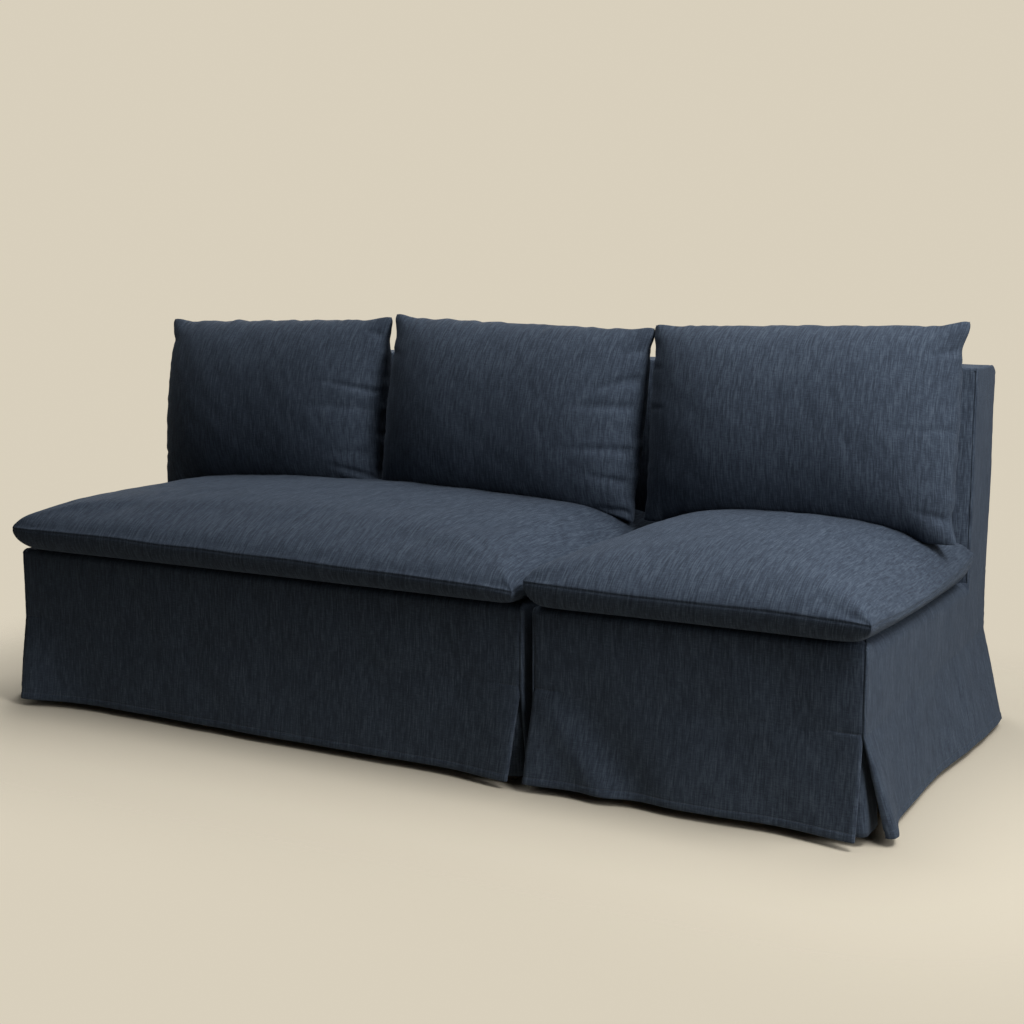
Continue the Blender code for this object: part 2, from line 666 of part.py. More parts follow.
def least_drop(points, faces, below_points, below_faces):
    """Least vertical distance from the underside of a form to the top of what it stands on."""
    form = BVHTree.FromPolygons([tuple(p) for p in points], faces)
    below = BVHTree.FromPolygons([tuple(p) for p in below_points], below_faces)
    low = below_points[:, 2].min()
    high = points[:, 2].max()
    drops = []
    for x, y, _ in np.concatenate([facet_samples(points, faces), facet_samples(below_points, below_faces)]):
        top = below.ray_cast((x, y, high), (0.0, 0.0, -1.0))[0]
        underside = form.ray_cast((x, y, low), (0.0, 0.0, 1.0))[0]
        if top is not None and underside is not None:
            drops.append(underside.z - top.z)
    return min(drops)


def back_cushion_faces(layer, seat, centre, tilt):
    """Front and rear of a back cushion's layer in its module: leaning, tilted, and flat on its seat."""
    inset, wall = LAYERS[layer]
    half_width = BACK_CUSHION_WIDTH / 2 - inset
    half_height = BACK_CUSHION_HEIGHT / 2 - inset
    u, v, across, up = cushion_plan(BACK_CUSHION_GRID, half_width, half_height, BACK_CUSHION_SIDE_PULL)
    rolls = edge_roll((1 - np.abs(u)) * half_width, BACK_CUSHION_ROLL, BACK_CUSHION_FULLNESS)
    rolls = rolls * edge_roll((1 - np.abs(v)) * half_height, BACK_CUSHION_ROLL, BACK_CUSHION_FULLNESS)
    turn = np.array(Matrix.Rotation(-BACK_CUSHION_LEAN, 3, "X") @ Matrix.Rotation(-tilt, 3, "Y"))
    sides = []
    for depth in (-(BACK_CUSHION_FRONT - wall), BACK_CUSHION_REAR - wall):
        points = np.stack([across, depth * rolls, up], axis=-1) @ turn.T + centre
        floor = seat_top(seat, points[..., 0], points[..., 1]) + LAYER_FIT + wall
        points[..., 2] = np.maximum(points[..., 2], floor)
        sides.append(points)
    return sides


def back_cushion(name, seat, centre_x, tilt, finishes):
    """Plump knife-edged back cushion that stands on a seat cushion and leans on the inside back."""
    half_height = BACK_CUSHION_HEIGHT / 2 * math.cos(BACK_CUSHION_LEAN)
    foot_y = BACK_CUSHION_Y - BACK_CUSHION_HEIGHT / 2 * math.sin(BACK_CUSHION_LEAN)
    seat_height = float(seat_top(seat, centre_x, foot_y))
    centre = np.array([centre_x, BACK_CUSHION_Y, seat_height + half_height - BACK_CUSHION_SINK])
    layers = {layer: back_cushion_faces(layer, seat, centre, tilt) for layer in LAYERS}
    outer = solid_pair(*layers["outside"])
    drop = least_drop(*outer, seat["points"], seat["faces"]) - FIT
    middle = centre - (0.0, 0.0, drop)
    frame = empty(f"{name}_cushion", middle - seat["centre"], seat["frame"])
    points, faces = cover_shell(layers["outside"], layers["lining"], 0)
    smooth(add_piece(f"{name}_cushion_cover", points - centre, faces, finishes["linen"], frame))
    points, faces = solid_pair(*layers["insert"])
    smooth(add_piece(f"{name}_cushion_insert", points - centre, faces, finishes["ticking"], frame))


def main():
    for old in list(bpy.data.objects):
        bpy.data.objects.remove(old, do_unlink=True)
    finishes = {
        "linen": finish("navy_linen", (0.016, 0.025, 0.045), 0.85),
        "timber": finish("frame_timber", (0.52, 0.36, 0.21), 0.65),
        "foot": finish("dark_foot_timber", (0.035, 0.022, 0.015), 0.45),
        "webbing": finish("jute_webbing", (0.33, 0.25, 0.15), 0.9),
        "foam": finish("pad_foam", (0.80, 0.74, 0.58), 0.95),
        "ticking": finish("insert_ticking", (0.78, 0.76, 0.71), 0.85),
    }
    outer_side = (SIDE_FRONT_FLARE, SIDE_FLARE, SIDE_REAR_FLARE)
    inner_side = (INNER_FLARE, INNER_FLARE, INNER_FLARE)
    rear = (REAR_CORNER_FLARE, REAR_FLARE, REAR_CORNER_FLARE)
    wide_skirt = {
        "front": (LEFT_CORNER_FLARE, FRONT_FLARE, FRONT_CORNER_FLARE),
        "rear": rear,
        "left": outer_side,
        "right": inner_side,
        "notches": (LEFT_NOTCH, WIDE_SPLIT_NOTCH),
    }
    narrow_skirt = {
        "front": (FRONT_CORNER_FLARE, FRONT_FLARE, FRONT_CORNER_FLARE),
        "rear": rear,
        "left": inner_side,
        "right": outer_side,
        "notches": (NARROW_SPLIT_NOTCH, FRONT_NOTCH),
    }
    wide = empty("wide_module", (-TOTAL_WIDTH / 2, -PLAN_MIDDLE_Y, 0.0))
    narrow = empty("narrow_module", (NARROW_START - TOTAL_WIDTH / 2, -PLAN_MIDDLE_Y, 0.0))
    module("wide", WIDE_WIDTH, WIDE_COLUMNS, wide_skirt, finishes, wide)
    module("narrow", NARROW_WIDTH, NARROW_COLUMNS, narrow_skirt, finishes, narrow)
    reach = (MODULE_GAP - SEAT_SPLIT) / 2
    wide_ends = (-WIDE_END_OVERHANG, WIDE_WIDTH + reach)
    narrow_ends = (-reach, NARROW_WIDTH + NARROW_END_OVERHANG)
    wide_seat = seat_cushion("wide", WIDE_SEAT_GRID, *wide_ends, finishes, wide)
    narrow_seat = seat_cushion("narrow", NARROW_SEAT_GRID, *narrow_ends, finishes, narrow)
    middle_x = WIDE_WIDTH - MIDDLE_CUSHION_FROM_END
    right_x = NARROW_WIDTH - RIGHT_CUSHION_FROM_END
    back_cushion("left_back", wide_seat, LEFT_CUSHION_FROM_END, LEFT_CUSHION_TILT, finishes)
    back_cushion("middle_back", wide_seat, middle_x, MIDDLE_CUSHION_TILT, finishes)
    back_cushion("right_back", narrow_seat, right_x, RIGHT_CUSHION_TILT, finishes)


main()
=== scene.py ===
"""Looks of an armless slipcovered dining banquette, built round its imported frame.

Metres, in the frame's own axes: +X runs along the seats, -Y is the front and +Z is up. Every piece is
worked out with numpy as a grid of points, sits at the origin and carries a UV map in metres, whose first
number runs across the threads of the warp and whose second runs along them.
"""

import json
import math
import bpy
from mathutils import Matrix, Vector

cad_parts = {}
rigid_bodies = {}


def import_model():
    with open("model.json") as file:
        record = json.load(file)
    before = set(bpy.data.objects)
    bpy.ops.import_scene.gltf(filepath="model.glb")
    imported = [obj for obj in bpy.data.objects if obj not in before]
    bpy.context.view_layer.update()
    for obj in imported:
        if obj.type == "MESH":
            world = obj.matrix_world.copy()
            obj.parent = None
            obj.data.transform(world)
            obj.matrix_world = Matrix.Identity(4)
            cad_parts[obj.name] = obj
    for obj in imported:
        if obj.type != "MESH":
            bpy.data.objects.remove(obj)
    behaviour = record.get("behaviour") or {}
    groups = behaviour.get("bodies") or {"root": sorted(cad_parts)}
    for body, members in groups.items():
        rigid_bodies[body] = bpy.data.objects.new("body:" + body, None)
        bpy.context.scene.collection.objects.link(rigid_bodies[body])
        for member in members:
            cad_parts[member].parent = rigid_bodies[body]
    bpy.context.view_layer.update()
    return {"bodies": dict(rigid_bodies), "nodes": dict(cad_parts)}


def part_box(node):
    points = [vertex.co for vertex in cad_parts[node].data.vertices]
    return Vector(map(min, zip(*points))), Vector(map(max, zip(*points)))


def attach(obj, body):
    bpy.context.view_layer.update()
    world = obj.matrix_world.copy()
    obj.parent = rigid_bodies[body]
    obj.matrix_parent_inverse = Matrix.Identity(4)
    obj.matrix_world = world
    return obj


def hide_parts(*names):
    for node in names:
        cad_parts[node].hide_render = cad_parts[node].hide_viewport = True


bl_info = {
    "name": "Slipcovered dining banquette",
    "version": (1, 0, 0),
    "blender": (4, 5, 0),
    "location": "View3D > Sidebar > Banquette",
    "description": "Dresses the banquette's frame in its slipcover, cushions and feet, and sets the stage",
    "category": "Object",
}

import bpy
import numpy as np
from bpy.props import FloatProperty, FloatVectorProperty, IntProperty, PointerProperty
from bpy.types import Operator, Panel, PropertyGroup

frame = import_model()
CLOTH_MAP = "Cloth"
MODULES = ("wide", "narrow")
CORNERS = ("front_left", "front_right", "rear_left", "rear_right")
SOLID_CLOTH = 0.0025
PLEAT_LAP = 0.028

# Reach of the skirt's hem beyond the upright cloth above it: at a panel's start, middle and end
FRONT_REACHES = {"wide": (0.044, 0.014, 0.026), "narrow": (0.026, 0.016, 0.026)}
REAR_REACHES = (0.045, 0.030, 0.045)
OUTER_REACHES = (0.056, 0.027, 0.064)
INNER_REACHES = (0.004, 0.004, 0.004)
# How far along a hem the reach at its start and its end eases out: on fronts and rears, and on ends
FRONT_SPREADS = (0.085, 0.085)
SIDE_SPREADS = (0.085, 0.380)
# How far a panel's two edges draw back from the corners at the hem
FRONT_NOTCHES = {"wide": (0.018, 0.012), "narrow": (-0.010, 0.000)}
SIDE_NOTCHES = (0.020, 0.075)
# Radius at which the ends' edges turn towards the panels beside them, and the turned-in cloth of a seam
CORNER_RADII = {"wide": 0.0060, "narrow": 0.0045}
DECK_CORNER = 0.024
TURNED_IN = 0.005
# Stitching that holds a pleat shut: its height above the release and its length in from the edge
TACK_RISE = 0.0035
TACK_LENGTH = 0.050
# How far a seat's corners are blunted: front left, front right, rear left, rear right
SEAT_CORNERS = {"wide": (0.012, 0.010, 0.004, 0.004), "narrow": (0.009, 0.002, 0.004, 0.002)}
# Seeds of the random waves in the pieces
FRONT_SEEDS = {"wide": 11, "narrow": 23}
REAR_SEEDS = {"wide": 41, "narrow": 42}
INSIDE_SEEDS = {"wide": 51, "narrow": 52}
END_SEEDS = {"wide": 61, "narrow": 68}
PLEAT_SEEDS = {"wide": 71, "narrow": 72}
SEAT_SEEDS = {"wide": 301, "narrow": 302}

# Distances in from an edge at which the cloth has points: at a plain seam, and at a turned edge
SEAM_POINTS = np.array([0.0, 0.0009, 0.0022, 0.0040, 0.0065])
TURN_POINTS = np.array([0.0, 0.00005, 0.0003, 0.0009, 0.0022, 0.0042, 0.0068, 0.0100])


def length_setting(name, description, default):
    return FloatProperty(name=name, description=description, default=default, unit="LENGTH")


def colour_setting(name, description, default):
    return FloatVectorProperty(name=name, description=description, default=default, size=3, subtype="COLOR")


class SlipcoverSettings(PropertyGroup):
    """Sizes of the slipcover that a user would change."""

    thickness: length_setting("Cloth thickness", "Thickness of the linen", 0.0014)
    seam_depth: length_setting("Seam depth", "How far the cloth dips into a seam", 0.0022)
    fold_depth: length_setting("Fold depth", "Height of the soft folds along the hem", 0.0045)
    hem_depth: length_setting("Hem depth", "Height of the hem's stitching above its edge", 0.014)
    stitch: length_setting("Stitch length", "Length of one stitch", 0.0040)
    deck_radius: length_setting("Deck edge radius", "Radius of the deck's padded front edge", 0.016)
    top_radius: length_setting("Back top radius", "Radius of the edge along the back's top", 0.026)


class CushionSettings(PropertyGroup):
    """Sizes of the cushions that a user would change."""

    pressure: FloatProperty(
        name="Pressure", description="Pressure of the filling in the cloth's simulation", default=3.0)
    ease: FloatProperty(
        name="Ease", description="Share by which the cover's cloth is larger than its form", default=0.03,
        subtype="FACTOR")
    frames: IntProperty(name="Frames", description="Steps that the cloth's simulation takes", default=16)
    cap: length_setting("Cap", "Most that a point of a cover moves in the simulation", 0.010)
    ear: length_setting("Drawn edge", "How far a back cushion's edges draw in between its corners", 0.004)
    pucker: length_setting("Pucker", "Height of the puckers along a back cushion's seam", 0.0014)


class FinishSettings(PropertyGroup):
    """Colours of the finishes."""

    navy: colour_setting("Navy", "Ground colour of the linen", (0.0435, 0.0590, 0.0860))
    shade: colour_setting("Shade", "Colour of the linen's darkest threads", (0.0245, 0.0325, 0.0485))
    fleck: colour_setting("Fleck", "Colour of the linen's pale slubs", (0.096, 0.121, 0.157))
    foot: colour_setting("Foot", "Colour of the stained feet", (0.022, 0.014, 0.010))
    timber: colour_setting("Timber", "Colour of the frame's boards", (0.46, 0.31, 0.17))


class StageSettings(PropertyGroup):
    """Floor, light and camera."""

    floor: colour_setting("Floor", "Colour of the floor", (0.60, 0.553, 0.459))
    background: colour_setting("Background", "Colour that the camera sees behind", (0.690, 0.626, 0.505))
    key: FloatProperty(name="Key", description="Power that the lamps share", default=48.0, unit="POWER")
    fill: FloatProperty(name="Fill", description="Strength of the light from all round", default=0.03)
    lens: FloatProperty(
        name="Lens", description="Focal length for a 36 mm frame", default=53.40, unit="CAMERA")


# Sizes read from the frame

def module_sizes(prefix):
    """Outer faces of one module, from the boxes of its panels, and the fall of its deck."""
    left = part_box(f"{prefix}_left_panel")
    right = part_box(f"{prefix}_right_panel")
    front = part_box(f"{prefix}_front_panel")
    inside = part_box(f"{prefix}_inside_back_panel")
    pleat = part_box(f"{prefix}_pleat_front_left")
    sizes = {
        "left": left[1].x - SOLID_CLOTH,
        "right": right[0].x + SOLID_CLOTH,
        "front": left[0].y,
        "rear": left[1].y,
        "back_face": inside[1].y - SOLID_CLOTH,
        "top": left[1].z,
        "deck_front": front[1].z,
        "deck_rear": inside[0].z,
        "hem": front[0].z,
        "release": pleat[1].z - PLEAT_LAP,
        "corner": CORNER_RADII[prefix],
    }
    sizes["crown"] = sizes["back_face"] - inside[0].y
    sizes["width"] = sizes["right"] - sizes["left"]
    sizes["depth"] = sizes["rear"] - sizes["front"]
    sizes["deck_depth"] = sizes["back_face"] - sizes["front"]
    sizes["slope"] = (sizes["deck_front"] - sizes["deck_rear"]) / sizes["deck_depth"]
    return sizes


# Grids, meshes and pieces

def spaced(length, step, fringe=SEAM_POINTS):
    """Places from 0 to a length: close together at both ends, and a step apart between."""
    inner = np.linspace(fringe[-1], length - fringe[-1], max(3, round(length / step)))
    return np.concatenate([fringe[:-1], inner, length - fringe[-2::-1]])


def numbered(rows, columns):
    """Point numbers of a grid, row by row."""
    return np.arange(rows * columns).reshape(rows, columns)


def quads(index):
    """Four-sided faces between the rows and columns of a grid of point numbers."""
    return np.stack([index[:-1, :-1], index[:-1, 1:], index[1:, 1:], index[1:, :-1]], -1).reshape(-1, 4)


def tube_quads(index):
    """Four-sided faces of a grid whose last column joins its first."""
    return quads(np.column_stack([index, index[:, :1]]))


def layered(*parts):
    """Arrays spread to one shape and put side by side as coordinates."""
    return np.stack(np.broadcast_arrays(*parts), -1)


def travelled(first, second):
    """Length run along a line of points from its start."""
    return np.concatenate([[0.0], np.cumsum(np.hypot(np.diff(first), np.diff(second)))])


def add_piece(name, points, faces, uv, material):
    """An object at the origin from points, faces, a UV map in metres and the name of its finish."""
    mesh = bpy.data.meshes.new(name)
    mesh.from_pydata(np.asarray(points).reshape(-1, 3).tolist(), [], np.asarray(faces).tolist())
    corners = np.empty(len(mesh.loops), np.int32)
    mesh.loops.foreach_get("vertex_index", corners)
    layer = mesh.uv_layers.new(name=CLOTH_MAP)
    layer.data.foreach_set("uv", np.asarray(uv, np.float32).reshape(-1, 2)[corners].ravel())
    mesh.shade_smooth()
    mesh.materials.append(bpy.data.materials[material])
    piece = bpy.data.objects.new(name, mesh)
    bpy.context.scene.collection.objects.link(piece)
    return piece


def add_grid(name, points, uv, material):
    """A piece of one grid of points."""
    return add_piece(name, points, quads(numbered(*points.shape[:2])), uv, material)


def dress(piece, body, slot, *nodes):
    """Lets a piece ride on a body and stand for CAD nodes, whose solids it hides. The slot is not used."""
    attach(piece, body)
    if nodes:
        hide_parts(*nodes)


def thicken(piece, thickness):
    """Gives a sheet its thickness on the inside."""
    wall = piece.modifiers.new("thickness", "SOLIDIFY")
    wall.thickness = thickness
    wall.offset = -1.0


def read_points(mesh):
    """A mesh's points as an array."""
    points = np.empty(len(mesh.vertices) * 3, np.float32)
    mesh.vertices.foreach_get("co", points)
    return points.reshape(-1, 3).astype(float)


def write_points(mesh, points):
    """Moves a mesh's points to those of an array."""
    mesh.vertices.foreach_set("co", np.asarray(points, np.float32).ravel())
    mesh.update()


# Shapes that cloth takes

def smoothstep(low, high, value):
    """0 below low, 1 above high, and a smooth S between."""
    share = np.clip((value - low) / (high - low), 0.0, 1.0)
    return share * share * (3.0 - 2.0 * share)


def ripples(seed, a, b, length_a, length_b, count=9):
    """Smooth random waves of two parameters, about -1 to 1: a sum of slanted sines of random phase."""
    draw = np.random.default_rng(seed)
    total = np.zeros(np.broadcast(a, b).shape)
    for _ in range(count):
        rate_a = draw.uniform(0.5, 1.5) * draw.choice((-1.0, 1.0)) / length_a
        rate_b = draw.uniform(0.3, 1.3) / length_b
        total = total + np.sin(2 * math.pi * (rate_a * a + rate_b * b) + draw.uniform(0.0, 2 * math.pi))
    return total / math.sqrt(2.0 * count)


def bell(value, width):
    """1 at 0, falling to nothing a few widths away."""
    return np.exp(-((value / width) ** 2))


def seam_dip(distance, depth):
    """Outward height of cloth near a sewn edge: it falls by the depth in a short curve."""
    return -depth * (1.0 - np.clip(distance / 0.0065, 0.0, 1.0)) ** 2


def turned_edge(distance, radius):
    """Outward height of cloth that turns through a quarter circle at its edge."""
    inside = np.clip(radius - distance, 0.0, radius)
    return np.sqrt(radius**2 - inside**2) - radius


def crease(a, b, start, end, width, depth):
    """A fold along a line, deep at its start and running out: a valley with a rounder ridge beside it."""
    along = np.array(end, float) - np.array(start, float)
    length = np.hypot(*along)
    along = along / length
    forward = (a - start[0]) * along[0] + (b - start[1]) * along[1]
    aside = (b - start[1]) * along[0] - (a - start[0]) * along[1]
    share = np.clip(forward / length, 0.0, 1.0)
    beyond = np.maximum(np.abs(forward - length / 2) - length / 2, 0.0)
    cut = bell(aside, width) - 0.40 * bell(aside - 3.0 * width, 2.6 * width)
    return -depth * cut * (1.0 - share) ** 1.1 * bell(beyond, width)


def hang(height, sizes):
    """Share of the skirt's flare at a height: 0 from the release up and 1 at the hem."""
    below = np.clip((sizes["release"] - height) / (sizes["release"] - sizes["hem"]), 0.0, 1.0)
    return below**1.05


def flare(along, length, reaches, spreads=FRONT_SPREADS):
    """Reach of a hem whose start, middle and end reaches are given, easing out from the corners."""
    start, middle, end = reaches
    from_start = (start - middle) * bell(along, spreads[0])
    from_end = (end - middle) * bell(length - along, spreads[1])
    return middle + from_start + from_end


def skirt_rows(sizes, hem_depth, top):
    """Heights of a skirt's rows: close at the hem's edge, its stitching and the release, up to a top."""
    hem, release = sizes["hem"], sizes["release"]
    line = hem + hem_depth
    low = hem + np.array([0.0, 0.0012, 0.004, 0.009])
    stitched = line + np.array([-0.003, -0.001, 0.0, 0.001, 0.003])
    middle = np.linspace(line + 0.010, release - 0.010, 18)
    tack = release + np.array([-0.004, 0.0, 0.002, TACK_RISE, 0.005, 0.008])
    high = np.linspace(release + 0.014, top, max(4, round((top - release) / 0.011)))
    return np.concatenate([low, stitched, middle, tack, high])


def hem_relief(height, sizes, hem_depth):
    """Outward height of the turned hem: a doubled edge, with a groove along its stitching."""
    line = sizes["hem"] + hem_depth
    doubled = 0.0009 * (1.0 - smoothstep(line - 0.001, line + 0.003, height))
    groove = 0.0012 * bell(height - line, 0.0012)
    rounded = 0.0014 * (1.0 - np.clip((height - sizes["hem"]) / 0.003, 0.0, 1.0)) ** 2
    return doubled - groove - rounded


def tack_relief(height, edge, sizes):
    """Outward height along the tacks that hold a pleat shut: a short groove from each edge, a lip below."""
    reach = 1.0 - smoothstep(TACK_LENGTH - 0.012, TACK_LENGTH + 0.004, edge)
    below = sizes["release"] + TACK_RISE - height
    lip = 0.0012 * smoothstep(-0.0005, 0.003, below) * np.exp(-np.maximum(below, 0.0) / 0.035)
    return (lip - 0.0011 * bell(below, 0.0016)) * reach


def across_lines(start, end, step):
    """Places between two edges that change from row to row, and how far the cloth turns in at each edge.

    They are spaced as on the widest row. The first and last stand twice, for the cloth to turn inwards.
    """
    width = float(np.max(np.abs(end - start)))
    shares = spaced(width, step) / width
    shares = np.concatenate([[0.0], shares, [1.0]])
    turned_in = np.zeros(len(shares))
    turned_in[[0, -1]] = TURNED_IN
    return start + (end - start) * shares, shares, turned_in


# Slipcover

def corner_drape(along, height, sizes):
    """A soft fold that falls aslant from the release at a panel's start, like cloth let out of a tack."""
    below = np.clip((sizes["release"] - height) / sizes["release"], 0.0, 1.0)
    ridge = 0.018 + 0.15 * below
    lit = bell(along - ridge, 0.035) - 0.8 * bell(along - ridge - 0.075, 0.05)
    return below**0.6 * lit


def deck_corner(y, sizes):
    """Radius of the deck's long edges by the distance behind its front: small there and soon large."""
    return sizes["corner"] + (DECK_CORNER - sizes["corner"]) * smoothstep(0.0, 0.07, y)


def strip_profile(upright, turn, radius, top, beyond, heights):
    """Rows of a strip that stands, turns through a quarter circle at its top and runs on beyond it.

    Gives each row's run back, height, lean from upright and way travelled from the hem.
    """
    y = np.concatenate([np.zeros_like(upright), radius * (1 - np.cos(turn)), beyond])
    z = np.concatenate([upright, top - radius + radius * np.sin(turn), heights])
    lean = np.concatenate([np.zeros_like(upright), turn, np.full_like(beyond, math.pi / 2)])
    return [row[:, None] for row in (y, z, lean, travelled(y, z))]


def front_grid(prefix, sizes, look):
    """Front skirt and deck: up from the hem, round the deck's edge and back under the inside back."""
    radius = look.deck_radius
    upright = skirt_rows(sizes, look.hem_depth, sizes["deck_front"] - radius)
    turn = np.radians(np.linspace(12.0, 90.0, 7))
    deck = radius + np.linspace(0.012, sizes["deck_depth"] - radius + 0.012, 34)
    heights = sizes["deck_front"] - sizes["slope"] * (deck - radius)
    y, z, lean, way = strip_profile(upright, turn, radius, sizes["deck_front"], deck, heights)
    standing = lean == 0.0
    hanging = hang(z, sizes) * standing
    nick = 0.0018 * bell(z - sizes["release"], 0.004) * standing
    notches = FRONT_NOTCHES[prefix]
    rounded = deck_corner(y, sizes)
    start = sizes["left"] + rounded + notches[0] * hanging + nick
    end = sizes["right"] - rounded - notches[1] * hanging - nick
    x, shares, turned_in = across_lines(start, end, 0.012)
    along = shares * sizes["width"]
    edge = np.minimum(x - start, end - x)
    seed = FRONT_SEEDS[prefix]
    out = hanging * flare(along, sizes["width"], FRONT_REACHES[prefix])
    out = out + look.fold_depth * hanging * ripples(seed, along, way, 0.42, 0.55)
    out = out + 0.0011 * ripples(seed + 1, along, way, 0.16, 0.22)
    deck_edge = bell(z - sizes["deck_front"] + 0.02, 0.03)
    out = out + 0.0011 * ripples(seed + 2, along, way, 0.022, 0.3) * deck_edge
    if prefix == "narrow":
        out = out + 0.0105 * corner_drape(along, z, sizes) * standing
    out = out + hem_relief(z, sizes, look.hem_depth) * standing
    out = out + tack_relief(z, edge, sizes) * standing
    out = out + seam_dip(edge, look.seam_depth) - turned_in
    points = layered(x, sizes["front"] + y - out * np.cos(lean), z + out * np.sin(lean))
    return points, layered(along, way)


def back_grid(prefix, sizes, look):
    """Rear skirt, outside back and back top, from the hem up and forward over the top."""
    radius = look.top_radius
    upright = skirt_rows(sizes, look.hem_depth, sizes["top"] - radius)
    turn = np.radians(np.linspace(10.0, 90.0, 9))
    top = radius + np.linspace(0.010, sizes["rear"] - sizes["back_face"] - radius, 12)
    top = np.concatenate([top, top[-1:]])
    heights = np.full_like(top, sizes["top"])
    y, z, lean, way = strip_profile(upright, turn, radius, sizes["top"], top, heights)
    hanging = hang(z, sizes)
    nick = 0.0018 * bell(z - sizes["release"], 0.004)
    start = sizes["right"] - sizes["corner"] - 0.008 * hanging - nick
    end = sizes["left"] + sizes["corner"] + 0.008 * hanging + nick
    x, shares, turned_in = across_lines(start, end, 0.014)
    along = shares * sizes["width"]
    edge = np.minimum(start - x, x - end)
    seed = REAR_SEEDS[prefix]
    out = hanging * flare(along, sizes["width"], REAR_REACHES)
    out = out + look.fold_depth * hanging * ripples(seed, along, way, 0.38, 0.5)
    out = out + 0.0010 * ripples(seed + 1, along, way, 0.18, 0.25)
    out = out + hem_relief(z, sizes, look.hem_depth) * (lean == 0.0)
    out = out + tack_relief(z, edge, sizes)
    fore = way[-1, 0] - way
    last_row = np.zeros_like(way)
    last_row[-1] = TURNED_IN
    out = out + seam_dip(np.minimum(edge, fore), look.seam_depth) - np.maximum(turned_in, last_row)
    points = layered(x, sizes["rear"] - y + out * np.cos(lean), z + out * np.sin(lean))
    return points, layered(along, way)


def side_grids(sizes, look, face_x, outward, reaches, seed):
    """L-shaped end as two grids that share a row: the base up to the deck, and the back's end above it.

    Its edges turn a quarter circle towards the panels beside them, and part from them below the release,
    where the front edge curls in by more and more towards the hem.
    """
    depth, back_start = sizes["depth"], sizes["deck_depth"]
    fore = spaced(back_start, 0.013, TURN_POINTS)[:-1]
    aft = back_start + spaced(depth - back_start, 0.013, TURN_POINTS)
    y = np.concatenate([fore, aft])
    deck = sizes["deck_front"] - sizes["slope"] * np.minimum(y, back_start)
    deck = deck + turned_edge(y, look.deck_radius)
    skirt = skirt_rows(sizes, look.hem_depth, sizes["release"] + 0.03)
    share = spaced(0.12, 0.012, TURN_POINTS) / 0.12
    lower = np.concatenate([np.broadcast_to(skirt[:, None], (len(skirt), len(y))),
                            skirt[-1] + (deck - skirt[-1]) * share[1:, None]])
    rear_top = sizes["top"] + turned_edge(depth - aft, look.top_radius)
    base = deck[len(fore):]
    climb = spaced(0.42, 0.013, TURN_POINTS) / 0.42
    upper = base + (rear_top - base) * climb[:, None]
    open_side = max(reaches) > 0.01

    def place(z, along, above):
        hanging = hang(z, sizes)
        start = SIDE_NOTCHES[0] * hanging
        end = depth - SIDE_NOTCHES[1] * hanging
        run = start + (end - start) * along / depth
        out = hanging * flare(along, depth, reaches, SIDE_SPREADS)
        out = out + 0.7 * look.fold_depth * hanging * ripples(seed, along, z, 0.45, 0.6) * open_side
        out = out + 0.0010 * ripples(seed + 1, along, z, 0.15, 0.2) * open_side
        out = out + hem_relief(z, sizes, look.hem_depth)
        curl = sizes["corner"] + 0.016 * hanging * open_side
        edges = [turned_edge(run - start, curl), turned_edge(end - run, sizes["corner"])]
        if above:
            inner = np.minimum(along - back_start, rear_top - z)
            edges.append(turned_edge(np.maximum(inner, 0.0), sizes["corner"]))
        else:
            inner = np.where(along < back_start, np.maximum(deck - z, 0.0), 1.0)
            edges.append(turned_edge(inner, deck_corner(along, sizes)))
        out = out + np.minimum.reduce(np.broadcast_arrays(*edges))
        near = np.minimum(run - start, end - run)
        puckers = ripples(seed + 2, z, along, 0.016, 0.9) * np.exp(-near / 0.012) * (1.0 - hanging)
        out = out + 0.0006 * puckers * smoothstep(0.0, 0.002, near) * open_side
        drawn = 0.0016 * (np.exp(-(run - start) / 0.0006) - np.exp(-(end - run) / 0.0006))
        return layered(face_x + outward * out, sizes["front"] + run + drawn, z), layered(along, z)

    return place(lower, y[None, :], False), place(upper, aft[None, :], True), len(fore)


def side_faces(low, high, first, outward):
    """Faces of one mesh from the end's two grids, joined along the row at deck height."""
    rows, columns = low.shape[:2]
    width = high.shape[1]
    shared = (rows - 1) * columns + first + np.arange(width)
    upper = quads(numbered(*high.shape[:2]))
    upper = np.where(upper < width, shared[np.minimum(upper, width - 1)], upper - width + rows * columns)
    faces = np.concatenate([quads(numbered(rows, columns)), upper])
    return faces if outward > 0 else faces[:, ::-1]


def inside_back_grid(prefix, sizes, look):
    """Padded front of the back: flat at its seams, standing forward between them, gathered at its sides."""
    inset = sizes["corner"]
    width = sizes["width"] - 2 * inset
    height = sizes["top"] - sizes["deck_rear"]
    roll = 0.16
    across, _, turned_in = across_lines(np.zeros((1, 1)), np.full((1, 1), width), 0.014)
    up = spaced(height, 0.010)[:, None]

    def ease(distance):
        return 1.0 - (1.0 - np.clip(distance / roll, 0.0, 1.0)) ** 2

    seed = INSIDE_SEEDS[prefix]
    side = np.minimum(across, width - across)
    out = sizes["crown"] * ease(across) * ease(width - across) * ease(up) * ease(height - up)
    edge = np.minimum(side, np.minimum(up + 0.01, height - up))
    settled = smoothstep(0.0, 0.012, edge)
    gathers = np.abs(ripples(seed, up, across, 0.040, 0.3))
    out = out + 0.0036 * np.exp(-side / 0.030) * gathers * settled
    out = out + 0.0016 * ripples(seed + 1, across, up, 0.16, 0.2) * settled
    out = out + seam_dip(edge, look.seam_depth) - turned_in
    points = layered(sizes["left"] + inset + across, sizes["back_face"] - out, sizes["deck_rear"] + up)
    return points, layered(across, up)


